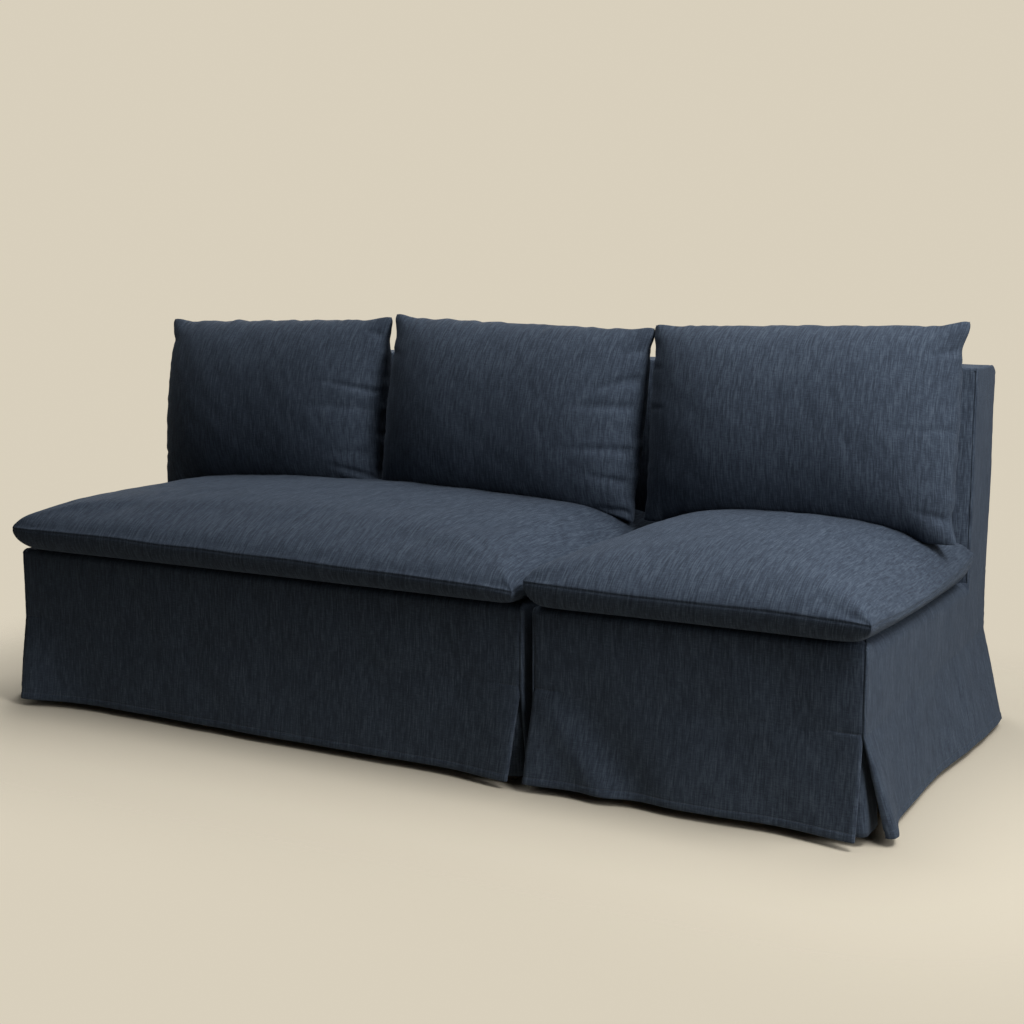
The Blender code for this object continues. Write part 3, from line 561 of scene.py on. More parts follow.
def pleat_grid(corner, run_in, run_out, reach_in, reach_out, sizes, seed):
    """Cloth folded round a corner behind two panels that part: a rounded angle, let out at the hem."""
    wing, radius, share, inset = 0.074, 0.016, 0.6, 0.0085
    run_in, run_out = np.array(run_in, float), np.array(run_out, float)
    heights = np.linspace(sizes["hem"] + 0.002, sizes["release"] + PLEAT_LAP - 0.002, 22)[:, None]
    hanging = hang(heights, sizes)
    turn = np.radians(np.linspace(0.0, 90.0, 9))
    in_run = np.concatenate([np.linspace(-wing, -radius, 9), -radius + radius * np.sin(turn)[1:],
                             np.zeros(8)])[None, :]
    out_run = np.concatenate([np.zeros(9), radius - radius * np.cos(turn)[1:],
                              np.linspace(radius, wing, 9)[1:]])[None, :]
    length = travelled(in_run[0], out_run[0])[None, :]
    wave = 0.0016 * hanging * ripples(seed, length, heights, 0.05, 0.2)
    first = share * reach_in * hanging - inset + wave
    second = share * reach_out * hanging - inset + wave
    flat = np.asarray(corner, float)
    xy = flat + run_in * (in_run + second)[..., None] + run_out * (out_run - first)[..., None]
    return layered(xy[..., 0], xy[..., 1], heights), layered(length, heights)


def module_ends(prefix, sizes):
    """For each end of a module: its face, the way out and the reaches of its hem."""
    outer_left = prefix == "wide"
    return {"left": (sizes["left"], -1, OUTER_REACHES if outer_left else INNER_REACHES),
            "right": (sizes["right"], 1, INNER_REACHES if outer_left else OUTER_REACHES)}


def pleat_corners(prefix, sizes):
    """For each corner: its place, the runs of its two panels and how far their hems stand out."""
    ends = module_ends(prefix, sizes)
    left, right = ends["left"][2][1], ends["right"][2][1]
    front, rear = FRONT_REACHES[prefix][1], REAR_REACHES[1]
    x0, x1, y0, y1 = sizes["left"], sizes["right"], sizes["front"], sizes["rear"]
    return {
        "front_right": ((x1, y0), (1, 0), (0, 1), front, right),
        "rear_right": ((x1, y1), (0, 1), (-1, 0), right, rear),
        "rear_left": ((x0, y1), (-1, 0), (0, -1), rear, left),
        "front_left": ((x0, y0), (0, -1), (1, 0), left, front),
    }


def stitches(name, lines, normals, length):
    """Rows of small rounded stitches along lines of points: one six-sided bar for each stitch."""
    gap, width, height = 0.35, 0.00045, 0.00050
    ring = np.radians(np.arange(6) * 60.0)
    taper = np.array([[-0.5, 0.45], [-0.3, 1.0], [0.3, 1.0], [0.5, 0.45]])
    bar = layered(taper[:, :1] * length, width * taper[:, 1:] * np.cos(ring),
                  height * taper[:, 1:] * np.sin(ring)).reshape(-1, 3)
    ends = np.array([[0, 5, 4, 3], [0, 3, 2, 1], [18, 19, 20, 21], [18, 21, 22, 23]])
    bar_faces = np.concatenate([tube_quads(numbered(len(taper), len(ring))), ends])
    points = []
    for line, normal in zip(lines, normals):
        run = np.concatenate([[0.0], np.cumsum(np.linalg.norm(np.diff(line, axis=0), axis=1))])
        places = np.arange(length, run[-1] - length / 2, length * (1 + gap))
        centre = np.stack([np.interp(places, run, line[:, axis]) for axis in range(3)], -1)
        ahead = np.stack([np.interp(places + 0.001, run, line[:, axis]) for axis in range(3)], -1)
        along = (ahead - centre) / np.linalg.norm(ahead - centre, axis=1, keepdims=True)
        outward = np.broadcast_to(normal, along.shape)
        aside = np.cross(outward, along)
        axes = np.stack([along, aside, outward], 1)
        points.append((centre[:, None, :] + np.einsum("kc,nca->nka", bar, axes)).reshape(-1, 3))
    points = np.concatenate(points)
    count = len(points) // len(bar)
    faces = (bar_faces[None] + len(bar) * np.arange(count)[:, None, None]).reshape(-1, 4)
    return add_piece(name, points, faces, points[:, :2], "navy_thread")


def tack_lines(points, sizes):
    """The two short lines of stitching at the release of a front or rear panel, in from its edges."""
    row = points[np.argmin(np.abs(points[:40, 1, 2] - sizes["release"] - TACK_RISE))][1:-1]
    from_start = np.abs(row[:, 0] - row[0, 0])
    return [row[from_start < TACK_LENGTH], row[from_start > from_start[-1] - TACK_LENGTH]]


def corner_lines(low, sizes):
    """The lines of stitching up an end's two corner seams, from the release to the deck."""
    height = low[:, 0, 2]
    rows = (height > sizes["release"] + 0.006) & (height < sizes["deck_rear"] - 0.012)
    return [low[rows, len(TURN_POINTS) - 2], low[rows, -len(TURN_POINTS) + 1]]


def cover_sheet(piece, prefix, node, look):
    """Gives a panel of a slipcover its thickness and its body, and hides the CAD panel it stands for."""
    thicken(piece, look.thickness)
    dress(piece, f"{prefix}_module", "navy_linen", f"{prefix}_{node}")


class BANQUETTE_OT_front_skirts(Operator):
    """Sews the front skirts, each in one strip with the deck behind it"""

    bl_idname = "banquette.front_skirts"
    bl_label = "Sew the front skirts"

    def execute(self, context):
        look = context.scene.banquette_slipcover
        for prefix in MODULES:
            sizes = module_sizes(prefix)
            points, uv = front_grid(prefix, sizes, look)
            made = add_grid(f"{prefix}_front_skirt", points, uv, "slubbed_linen")
            cover_sheet(made, prefix, "front_panel", look)
        return {"FINISHED"}


class BANQUETTE_OT_backs(Operator):
    """Sews the backs: the padded insides, and the outsides in one strip with the rear skirts"""

    bl_idname = "banquette.backs"
    bl_label = "Sew the backs"

    def execute(self, context):
        look = context.scene.banquette_slipcover
        for prefix in MODULES:
            sizes = module_sizes(prefix)
            points, uv = back_grid(prefix, sizes, look)
            made = add_grid(f"{prefix}_outside_back", points, uv, "slubbed_linen")
            cover_sheet(made, prefix, "outside_back_panel", look)
            points, uv = inside_back_grid(prefix, sizes, look)
            made = add_grid(f"{prefix}_inside_back", points, uv, "slubbed_linen")
            cover_sheet(made, prefix, "inside_back_panel", look)
        return {"FINISHED"}


class BANQUETTE_OT_ends(Operator):
    """Sews the L-shaped ends of both modules"""

    bl_idname = "banquette.ends"
    bl_label = "Sew the ends"

    def execute(self, context):
        look = context.scene.banquette_slipcover
        for prefix in MODULES:
            sizes = module_sizes(prefix)
            for side, (face_x, outward, reaches) in module_ends(prefix, sizes).items():
                seed = END_SEEDS[prefix] + outward
                lower, upper, first = side_grids(sizes, look, face_x, outward, reaches, seed)
                (low, low_uv), (high, high_uv) = lower, upper
                points = np.concatenate([low.reshape(-1, 3), high[1:].reshape(-1, 3)])
                uv = np.concatenate([low_uv.reshape(-1, 2), high_uv[1:].reshape(-1, 2)])
                faces = side_faces(low, high, first, outward)
                made = add_piece(f"{prefix}_{side}_end", points, faces, uv, "slubbed_linen")
                cover_sheet(made, prefix, f"{side}_panel", look)
        return {"FINISHED"}


class BANQUETTE_OT_pleats(Operator):
    """Folds the underlays of the skirts' corner pleats"""

    bl_idname = "banquette.pleats"
    bl_label = "Fold the pleats"

    def execute(self, context):
        look = context.scene.banquette_slipcover
        for prefix in MODULES:
            sizes = module_sizes(prefix)
            for place, facts in pleat_corners(prefix, sizes).items():
                points, uv = pleat_grid(*facts, sizes, PLEAT_SEEDS[prefix])
                made = add_grid(f"{prefix}_pleat_{place}_cloth", points, uv, "slubbed_linen")
                thicken(made, look.thickness)
                dress(made, f"{prefix}_module", "navy_linen", f"{prefix}_pleat_{place}")
        return {"FINISHED"}


class BANQUETTE_OT_stitching(Operator):
    """Stitches the hems, the tacks above the pleats and the corner seams"""

    bl_idname = "banquette.stitching"
    bl_label = "Stitch the slipcovers"

    def execute(self, context):
        look = context.scene.banquette_slipcover
        for prefix in MODULES:
            sizes = module_sizes(prefix)
            front, _ = front_grid(prefix, sizes, look)
            rear, _ = back_grid(prefix, sizes, look)
            lines = [front[6, 1:-1], *tack_lines(front, sizes), rear[6, 1:-1], *tack_lines(rear, sizes)]
            normals = [(0, -1, 0)] * 3 + [(0, 1, 0)] * 3
            for face_x, outward, reaches in module_ends(prefix, sizes).values():
                seed = END_SEEDS[prefix] + outward
                (low, _), _, _ = side_grids(sizes, look, face_x, outward, reaches, seed)
                lines += [low[6, 5:-5], *corner_lines(low, sizes)]
                normals += [(outward, 0, 0)] * 3
            made = stitches(f"{prefix}_hem_stitches", lines, np.array(normals, float), look.stitch)
            dress(made, f"{prefix}_module", "navy_linen")
        return {"FINISHED"}


# Cushions

# Distances in from a cushion's seam at which its cover has points, since its faces stand up steeply there
RIM_POINTS = np.array([0.0, 0.00002, 0.0001, 0.0003, 0.0009, 0.0025, 0.0060, 0.0120])
# Outer rings of a cover's points that the simulation holds
HELD_RINGS = 4
PLAN = "plan"
# Seats: height of the seam, rise of the rolled edge, further crown in the middle and radius of the roll
SEAT_SEAM = 0.383
SEAT_RISE = 0.062
SEAT_CROWN = 0.028
SEAT_ROLL = 0.190
# How far in from its seam a seat's underside meets the deck: at the other module, outer ends and front
MEETING_REACH = 0.028
OUTER_REACH = 0.050
FRONT_REACH = 0.036
# How far a cover's edge draws in between its corners, and how far a corner's blunting reaches
SEAT_PULL = 0.012
BLUNT_REACH = 0.050
# Inserts: how far inside their covers they lie, and how far apart their points are
INSERT_INSET = 0.022
INSERT_STEP = 0.03


def unrolled(face):
    """Places on a face's cloth laid flat: lengths along its rows and columns, measured from its middle."""
    maps = []
    for axis in (1, 0):
        step = np.linalg.norm(np.diff(face, axis=axis), axis=-1)
        first = np.zeros_like(np.take(step, [0], axis=axis))
        length = np.concatenate([first, np.cumsum(step, axis=axis)], axis=axis)
        maps.append(length - np.take(length, [-1], axis=axis) / 2)
    return np.stack(maps, -1)


def centred(half, step):
    """Places along and across a face, measured from its middle and close together at its rim."""
    a, b = (spaced(2 * side, step, RIM_POINTS) - side for side in half)
    return a[None, :], b[:, None]


def by_corner(a, b, values):
    """The value of a place's quarter: low b at left, low b at right, high b at left, high b at right."""
    low = np.where(a < 0, values[0], values[1])
    high = np.where(a < 0, values[2], values[3])
    return np.where(b < 0, low, high)


def two_sided(upper, lower, flat):
    """Points, faces, UV, held points and plan of a closed form from two grids that share their rim.

    The plan holds each point's place on the flat and its side: 1 on the upper or front face, -1 on the
    other and 0 at the rim.
    """
    rows, columns = upper.shape[:2]
    first = numbered(rows, columns)
    second = first.copy()
    second[1:-1, 1:-1] = rows * columns + numbered(rows - 2, columns - 2)

    def joined(one, other):
        width = one.shape[-1]
        return np.concatenate([one.reshape(-1, width), other[1:-1, 1:-1].reshape(-1, width)])

    points = joined(upper, lower)
    faces = np.concatenate([quads(first), quads(second)[:, ::-1]])
    ring_rows = np.minimum(np.arange(rows), np.arange(rows)[::-1])[:, None]
    ring_columns = np.minimum(np.arange(columns), np.arange(columns)[::-1])[None, :]
    ring = np.minimum(ring_rows, ring_columns)[..., None]
    rings = joined(ring, ring)[:, 0]
    side = np.where(np.arange(len(points)) < rows * columns, 1.0, -1.0) * (rings > 0)
    plan = np.column_stack([joined(flat, flat), side])
    return points, faces, joined(unrolled(upper), unrolled(lower)), np.flatnonzero(rings < HELD_RINGS), plan


def edge_roll(distance, radius, power):
    """Rise of a stuffed edge: 0 at the seam and 1 from the roll's radius inwards."""
    inside = np.clip(distance / radius, 0.0, 1.0)
    return (1.0 - (1.0 - inside) ** 2) ** power


def soft_distance(first, second, power=1.8):
    """Distance from the nearer of two edges, eased where both are near, and the way out towards it."""
    first, second = np.maximum(first, 1e-9), np.maximum(second, 1e-9)
    near = (first**-power + second**-power) ** (-1.0 / power)
    out_first, out_second = (near / first) ** (power + 1), (near / second) ** (power + 1)
    size = np.hypot(out_first, out_second)
    return near, out_first / size, out_second / size


def seam_valley(rise, depth):
    """How far a cover draws in towards its seam, by its height above the seam."""
    return depth * bell(rise, 0.0024)


def corner_creases(half, seed, deepest):
    """Short lines that run in from each corner of a cushion, a little apart."""
    draw = np.random.default_rng(seed)
    lines = []
    for sign_a, sign_b in ((-1, -1), (1, -1), (-1, 1), (1, 1)):
        for angle in (14.0, 44.0, 72.0):
            turned = math.radians(angle + draw.uniform(-7.0, 7.0))
            reach = draw.uniform(0.035, 0.085)
            way = np.array([-sign_a * math.cos(turned), -sign_b * math.sin(turned)])
            start = np.array([sign_a * half[0], sign_b * half[1]]) + 0.010 * way
            width = draw.uniform(0.003, 0.006)
            lines.append((start, start + reach * way, width, deepest * draw.uniform(0.3, 1.0)))
    return lines


def seam_gathers(a, b, half, seed, height):
    """Small wrinkles that run in from a cushion's seam: waves along it, dying away inwards."""
    from_side, from_end = half[0] - np.abs(a), half[1] - np.abs(b)
    run = np.where(from_side < from_end, b, a)
    which = np.where(from_side < from_end, np.sign(a) * 0.7, np.sign(b) * 1.9)
    inside = np.minimum(from_side, from_end)
    wave = ripples(seed, run, which, 0.022, 0.9)
    return height * wave * np.exp(-inside / 0.016) * smoothstep(0.0, 0.004, inside)


def seat_half(prefix):
    """Half the width and depth of a seat cushion, and its middle in plan."""
    low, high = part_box(f"{prefix}_seat_cover")
    return (np.array(high.xy) - np.array(low.xy)) / 2, (np.array(high.xy) + np.array(low.xy)) / 2


def seat_rise(a, b, half, inset=0.0):
    """Height of a seat's top above its seam: a rolled edge, and a crown over the middle."""
    near, _, _ = soft_distance(half[0] - np.abs(a), half[1] - np.abs(b), 2.4)
    u, v = np.clip(a / half[0], -1.0, 1.0), np.clip(b / half[1], -1.0, 1.0)
    crown = SEAT_CROWN * (1 - u**2) * (1 - v**2)
    return (SEAT_RISE - inset / 3 + crown) * edge_roll(near, SEAT_ROLL, 0.5)


def seat_seam(prefix, a, b, half):
    """Height of a seat's seam: level, with drooping front corners and a sagging outer end."""
    u, v = np.clip(a / half[0], -1.0, 1.0), np.clip(b / half[1], -1.0, 1.0)
    front = np.clip(-v, 0.0, 1.0)
    seam = SEAT_SEAM - 0.006 * (np.abs(u) * front) ** 8
    if prefix == "wide":
        return seam - 0.009 * u * front**2
    raised = 0.012 * np.exp(-np.maximum(half[0] + a + half[1] + b, 0.0) / 0.085)
    return seam + raised - smoothstep(0.55, 1.0, u) * (0.020 * (1 - v**2) + 0.006 * np.clip(v, 0.0, 1.0))


def seat_form(prefix, sizes, inset=0.0, step=0.0105):
    """Knife-edged seat: a crowned top and an underside that lies on the deck, meeting at a seam.

    The seam draws in a little between its corners, and both faces dip into it. The underside falls steeply
    from the front seam and slants in from the ends.
    """
    half, centre = seat_half(prefix)
    half = half - inset
    a, b = centred(half, step)
    u, v = a / half[0], b / half[1]
    from_side, from_end = half[0] - np.abs(a), half[1] - np.abs(b)
    _, out_a, out_b = soft_distance(from_side, from_end)
    blunt = np.exp(-(from_side + from_end) / BLUNT_REACH) * by_corner(a, b, SEAT_CORNERS[prefix])
    side_pull = np.where((u > 0) & (prefix == "narrow"), -0.002, SEAT_PULL)
    x = centre[0] + a - side_pull * (1 - v**2) * u**3 - np.sign(a) * blunt
    y = centre[1] + b - SEAT_PULL * (1 - u**2) * v**3 - np.sign(b) * blunt
    seam = seat_seam(prefix, a, b, half)
    seam = seam + 0.0012 * ripples(SEAT_SEEDS[prefix], a, b, 0.25, 0.25)
    deck = sizes["deck_front"] - sizes["slope"] * (y - sizes["front"]) + 0.0015 + inset / 4
    meets_other = (a > 0) == (prefix == "wide")
    side_reach = np.where(meets_other, MEETING_REACH, OUTER_REACH)
    rounded, _, _ = soft_distance(from_side / side_reach, from_end / FRONT_REACH, 2.5)
    fall = (seam - deck) * edge_roll(rounded, 1.0, 0.55)
    faces = []
    for height in (seat_rise(a, b, half, inset), -fall):
        drawn = seam_valley(np.abs(height), 0.0012)
        faces.append(layered(x - np.sign(a) * out_a * drawn, y - np.sign(b) * out_b * drawn, seam + height))
    return *faces, layered(a, b)


def seat_height(prefix, x, y):
    """Height of a seat's top at places in plan, by the same rule as its form."""
    half, centre = seat_half(prefix)
    a, b = x - centre[0], y - centre[1]
    return seat_seam(prefix, a, b, half) + seat_rise(a, b, half)


def seat_relief(prefix, half, a, b, side):
    """Small folds in a seat's top: creases in from the corners, gathers at the seam and slow waves."""
    seed = SEAT_SEEDS[prefix]
    inside = np.minimum(half[0] - np.abs(a), half[1] - np.abs(b))
    folds = sum(crease(a, b, *line) for line in corner_creases(half, seed, 0.0018))
    folds = folds * smoothstep(0.002, 0.010, inside)
    waves = 0.0012 * ripples(seed + 5, a, b, 0.22, 0.20) * smoothstep(0.01, 0.08, inside)
    waves = waves + 0.0005 * ripples(seed + 6, a, b, 0.06, 0.09) * smoothstep(0.01, 0.05, inside)
    return np.where(side > 0, folds + waves + seam_gathers(a, b, half, seed + 7, 0.0007), 0.0)


def stuff(piece, held, loose, settings, ease, pressure, cap):
    """Runs the cloth: pressure fills a cover whose cloth is a little too large, with its seam held.

    No point ends more than the cap from where it began, so the cushion keeps its form and gains folds.
    """
    scene = bpy.context.scene
    start = read_points(piece.data)
    seam = piece.vertex_groups.new(name="seam")
    seam.add(held.tolist(), 1.0, "REPLACE")
    spare = piece.vertex_groups.new(name="spare")
    for level in range(1, 11):
        chosen = np.flatnonzero(np.round(loose * 10) == level)
        spare.add(chosen.tolist(), level / 10, "REPLACE")
    modifier = piece.modifiers.new("stuffing", "CLOTH")
    cloth = modifier.settings
    cloth.quality = 5
    cloth.mass = 0.25
    cloth.tension_stiffness = 15.0
    cloth.compression_stiffness = 15.0
    cloth.shear_stiffness = 8.0
    cloth.bending_stiffness = 1.0
    cloth.air_damping = 4.0
    cloth.use_pressure = True
    cloth.uniform_pressure_force = pressure
    cloth.shrink_min = 0.0
    cloth.shrink_max = -ease
    cloth.vertex_group_shrink = spare.name
    cloth.vertex_group_mass = seam.name
    cloth.effector_weights.gravity = 0.0
    modifier.collision_settings.use_collision = False
    modifier.point_cache.frame_start = 1
    modifier.point_cache.frame_end = settings.frames
    for number in range(1, settings.frames + 1):
        scene.frame_set(number)
    graph = bpy.context.evaluated_depsgraph_get()
    moved = read_points(piece.evaluated_get(graph).data)
    piece.modifiers.remove(modifier)
    piece.vertex_groups.clear()
    scene.frame_set(1)
    step = moved - start
    reach = np.linalg.norm(step, axis=1, keepdims=True)
    return start + step * np.minimum(1.0, cap / np.maximum(reach, 1e-9))


def keep_inside(points, box, spare):
    """Points held within a node's box and a little spare cloth beyond it on each side."""
    return np.clip(points, np.array(box[0]) - spare, np.array(box[1]) + spare)


def mark_plan(mesh, plan):
    """Notes on each point its place on the flat and its side."""
    notes = mesh.attributes.new(PLAN, "FLOAT_VECTOR", "POINT")
    notes.data.foreach_set("vector", plan.astype(np.float32).ravel())


def refine(piece, relief):
    """Subdivides a cushion once for good, then moves its points outwards by a height from its plan."""
    finer = piece.modifiers.new("finer", "SUBSURF")
    finer.levels = 1
    finer.render_levels = 1
    graph = bpy.context.evaluated_depsgraph_get()
    mesh = bpy.data.meshes.new_from_object(piece.evaluated_get(graph))
    piece.modifiers.remove(finer)
    piece.data = mesh
    plan = np.empty(len(mesh.vertices) * 3, np.float32)
    mesh.attributes[PLAN].data.foreach_get("vector", plan)
    normals = np.empty(len(mesh.vertices) * 3, np.float32)
    mesh.vertex_normals.foreach_get("vector", normals)
    height = relief(*plan.reshape(-1, 3).astype(float).T)
    write_points(mesh, read_points(mesh) + normals.reshape(-1, 3) * height[:, None])
    mesh.shade_smooth()


class BANQUETTE_OT_seat_cushions(Operator):
    """Fills the seat cushions: a knife-edged cover round a loose insert on each module"""

    bl_idname = "banquette.seat_cushions"
    bl_label = "Fill the seat cushions"

    def execute(self, context):
        settings = context.scene.banquette_cushions
        for prefix in MODULES:
            sizes = module_sizes(prefix)
            body = f"{prefix}_seat_cushion"
            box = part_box(f"{prefix}_seat_cover")
            points, faces, uv, held, plan = two_sided(*seat_form(prefix, sizes))
            cover = add_piece(f"{prefix}_seat_cushion_cover", points, faces, uv, "slubbed_linen")
            mark_plan(cover.data, plan)
            under = np.flatnonzero(plan[:, 2] < 0)
            loose = np.full(len(points), 0.5)
            placed = stuff(cover, np.union1d(held, under), loose, settings, 0.4 * settings.ease,
                           0.5 * settings.pressure, 0.5 * settings.cap)
            placed = keep_inside(placed, box, np.array([0.0015, 0.004, 0.006]))
            write_points(cover.data, placed)
            half, _ = seat_half(prefix)
            refine(cover, lambda a, b, side: seat_relief(prefix, half, a, b, side))
            dress(cover, body, "navy_linen", f"{prefix}_seat_cover")
            points, faces, uv, _, _ = two_sided(*seat_form(prefix, sizes, INSERT_INSET, INSERT_STEP))
            insert = add_piece(f"{prefix}_seat_cushion_insert", points, faces, uv, "ticking_cloth")
            dress(insert, body, "insert_ticking", f"{prefix}_seat_insert")
        return {"FINISHED"}


# For each back cushion: its seat, tilt in degrees, shift along the row, how far its corners stand out
# (lower left, lower right, upper left, upper right) and its front's creases: start, end, width and depth
BACK_CUSHIONS = {
    "left": {
        "seat": "wide", "tilt": 1.0, "seed": 101, "shift": 0.004, "ears": (0.000, 0.002, 0.007, 0.007),
        "creases": [
            ((0.312, 0.034), (0.175, 0.054), 0.0050, 0.0075),
            ((0.30, -0.008), (0.10, -0.006), 0.0100, 0.0034),
            ((0.312, -0.160), (0.20, -0.136), 0.0050, 0.0095),
            ((0.30, -0.194), (0.21, -0.160), 0.005, 0.0080),
            ((0.29, -0.105), (0.19, -0.115), 0.011, 0.0040),
            ((0.312, 0.160), (0.26, 0.178), 0.006, 0.0050),
            ((-0.31, 0.150), (-0.27, 0.145), 0.005, 0.0035),
            ((-0.31, -0.12), (-0.26, -0.11), 0.005, 0.0030),
        ],
    },
    "middle": {
        "seat": "wide", "tilt": -2.0, "seed": 102, "shift": 0.005, "ears": (0.002, 0.002, 0.007, 0.006),
        "creases": [
            ((0.312, 0.096), (0.21, 0.058), 0.0090, 0.0095),
            ((0.30, 0.036), (0.16, 0.022), 0.0090, 0.0058),
            ((0.30, -0.055), (0.16, -0.066), 0.0080, 0.0058),
            ((0.312, -0.180), (0.22, -0.182), 0.006, 0.0095),
            ((0.30, -0.120), (0.22, -0.112), 0.0070, 0.0055),
            ((0.312, 0.155), (0.26, 0.140), 0.006, 0.0045),
            ((-0.31, 0.12), (-0.25, 0.105), 0.006, 0.0030),
            ((0.08, 0.20), (0.06, 0.15), 0.009, 0.0035),
        ],
    },
    "right": {
        "seat": "narrow", "tilt": 0.8, "seed": 103, "shift": 0.0, "ears": (0.002, 0.008, 0.003, 0.009),
        "creases": [
            ((-0.31, 0.030), (-0.25, 0.022), 0.0040, 0.0040),
            ((-0.31, 0.11), (-0.27, 0.106), 0.004, 0.0035),
            ((0.31, 0.0), (0.19, -0.006), 0.0070, 0.0024),
            ((0.310, -0.155), (0.245, -0.146), 0.006, 0.0070),
            ((0.31, 0.150), (0.25, 0.135), 0.005, 0.0045),
        ],
    },
}
BACK_CUSHION_SIZE = (0.632, 0.402)
BACK_CUSHION_LEAN = 8.5
# Radii of a back cushion's rolled sides and ends, and how far its front and rear stand out from its seam
BACK_ROLLS = (0.24, 0.20)
BACK_DEPTHS = (-0.105, 0.150)


def back_cushion_form(facts, settings, box, inset=0.0, step=0.0092):
    """Plump knife-edged cushion: two crowned faces that meet at a puckered seam with eared corners.

    Its edges draw in and are pinched beside the corners, which stand out by their ears. Its middle plane
    leans and tilts, the whole is set into its solid's box, and its foot sags on to the seat.
    """
    half = np.array(BACK_CUSHION_SIZE) / 2 - inset
    a, b = centred(half, step)
    from_side, from_end = half[0] - np.abs(a), half[1] - np.abs(b)
    near, out_a, out_b = soft_distance(from_side, from_end, 2.2)
    ear = by_corner(a, b, facts["ears"])
    corner = bell(np.hypot(from_side, from_end), 0.034)
    edge_in = settings.ear * smoothstep(0.0, 0.09, from_end)
    end_in = 0.4 * settings.ear * smoothstep(0.0, 0.09, from_side)
    pinch_side = 0.6 * ear * bell(from_end - 0.045, 0.018)
    pinch_end = 0.2 * ear * bell(from_side - 0.045, 0.018)
    tip = 0.0022 * bell(np.hypot(from_side, from_end), 0.007)
    across = a - np.sign(a) * ((edge_in + pinch_side) * np.exp(-from_side / 0.08) - ear * corner + tip)
    up = b - np.sign(b) * ((end_in + pinch_end) * np.exp(-from_end / 0.08) - ear * corner + tip)
    rolls = edge_roll(from_side, BACK_ROLLS[0], 0.5) * edge_roll(from_end, BACK_ROLLS[1], 0.5)
    run = np.where(from_side < from_end, b, a)
    which = np.sign(a) * 0.7 + np.sign(b) * 1.9
    fold = ripples(facts["seed"], run, which, 0.034, 0.9)
    fold = fold + 1.3 * ripples(facts["seed"] + 40, run, which, 0.085, 0.9)
    swell = settings.pucker * fold * np.exp(-near / 0.022) * smoothstep(0.0, 0.06, from_side + from_end)
    across = across + np.sign(a) * out_a * swell
    up = up + np.sign(b) * out_b * swell
    weave = 0.0006 * ripples(facts["seed"] + 9, a, b, 0.14, 0.12) * smoothstep(0.0, 0.04, near)
    lean, tilt = math.radians(-BACK_CUSHION_LEAN), math.radians(facts["tilt"])
    cos, sin = math.cos(lean), math.sin(lean)
    leaning = np.array([[1, 0, 0], [0, cos, -sin], [0, sin, cos]])
    cos, sin = math.cos(tilt), math.sin(tilt)
    turn = leaning @ np.array([[cos, 0, -sin], [0, 1, 0], [sin, 0, cos]])
    sides = []
    for depth in BACK_DEPTHS:
        stands = depth - 0.6 * inset * np.sign(depth)
        drawn = seam_valley(np.abs(stands) * rolls, 0.0018)
        local = layered(across - np.sign(a) * out_a * drawn, stands * rolls + weave,
                        up - np.sign(b) * out_b * drawn)
        sides.append(local @ turn.T)
    low, high = np.array(box[0]), np.array(box[1])
    both = np.concatenate([side.reshape(-1, 3) for side in sides])
    shift = np.array([(low[0] + high[0] - both[:, 0].max() - both[:, 0].min()) / 2 + facts["shift"],
                      high[1] - both[:, 1].max(), high[2] - both[:, 2].max()])
    shift[1:] -= inset * np.array([0.6, 1.0])
    sides = [side + shift for side in sides]
    foot = sides[0][0]
    gap = foot[:, 2] - seat_height(facts["seat"], foot[:, 0], foot[:, 1]) - 0.001
    sag = np.clip(gap, 0.0, 0.022) * np.exp(-(half[1] + b) / 0.075)
    for side in sides:
        side[..., 2] -= sag
        floor = seat_height(facts["seat"], side[..., 0], side[..., 1]) + 0.001 + inset / 3
        side[..., 2] = np.maximum(side[..., 2], floor)
    return *sides, layered(a, b)


def back_cushion_relief(facts, half, a, b, side):
    """Small folds in a back cushion: creases in front, lines in from corners and gathers at the seam."""
    inside = np.minimum(half[0] - np.abs(a), half[1] - np.abs(b))
    folds = sum(crease(a, b, *line) for line in facts["creases"]) * smoothstep(0.0, 0.010, inside)
    lines = sum(crease(a, b, *line) for line in corner_creases(half, facts["seed"], 0.0012))
    lines = lines * smoothstep(0.002, 0.010, inside)
    waves = 0.0004 * ripples(facts["seed"] + 11, a, b, 0.07, 0.08) * smoothstep(0.0, 0.05, inside)
    gathers = seam_gathers(a, b, half, facts["seed"] + 12, 0.0008)
    return np.where(side > 0, folds, 0.0) + lines + waves + gathers


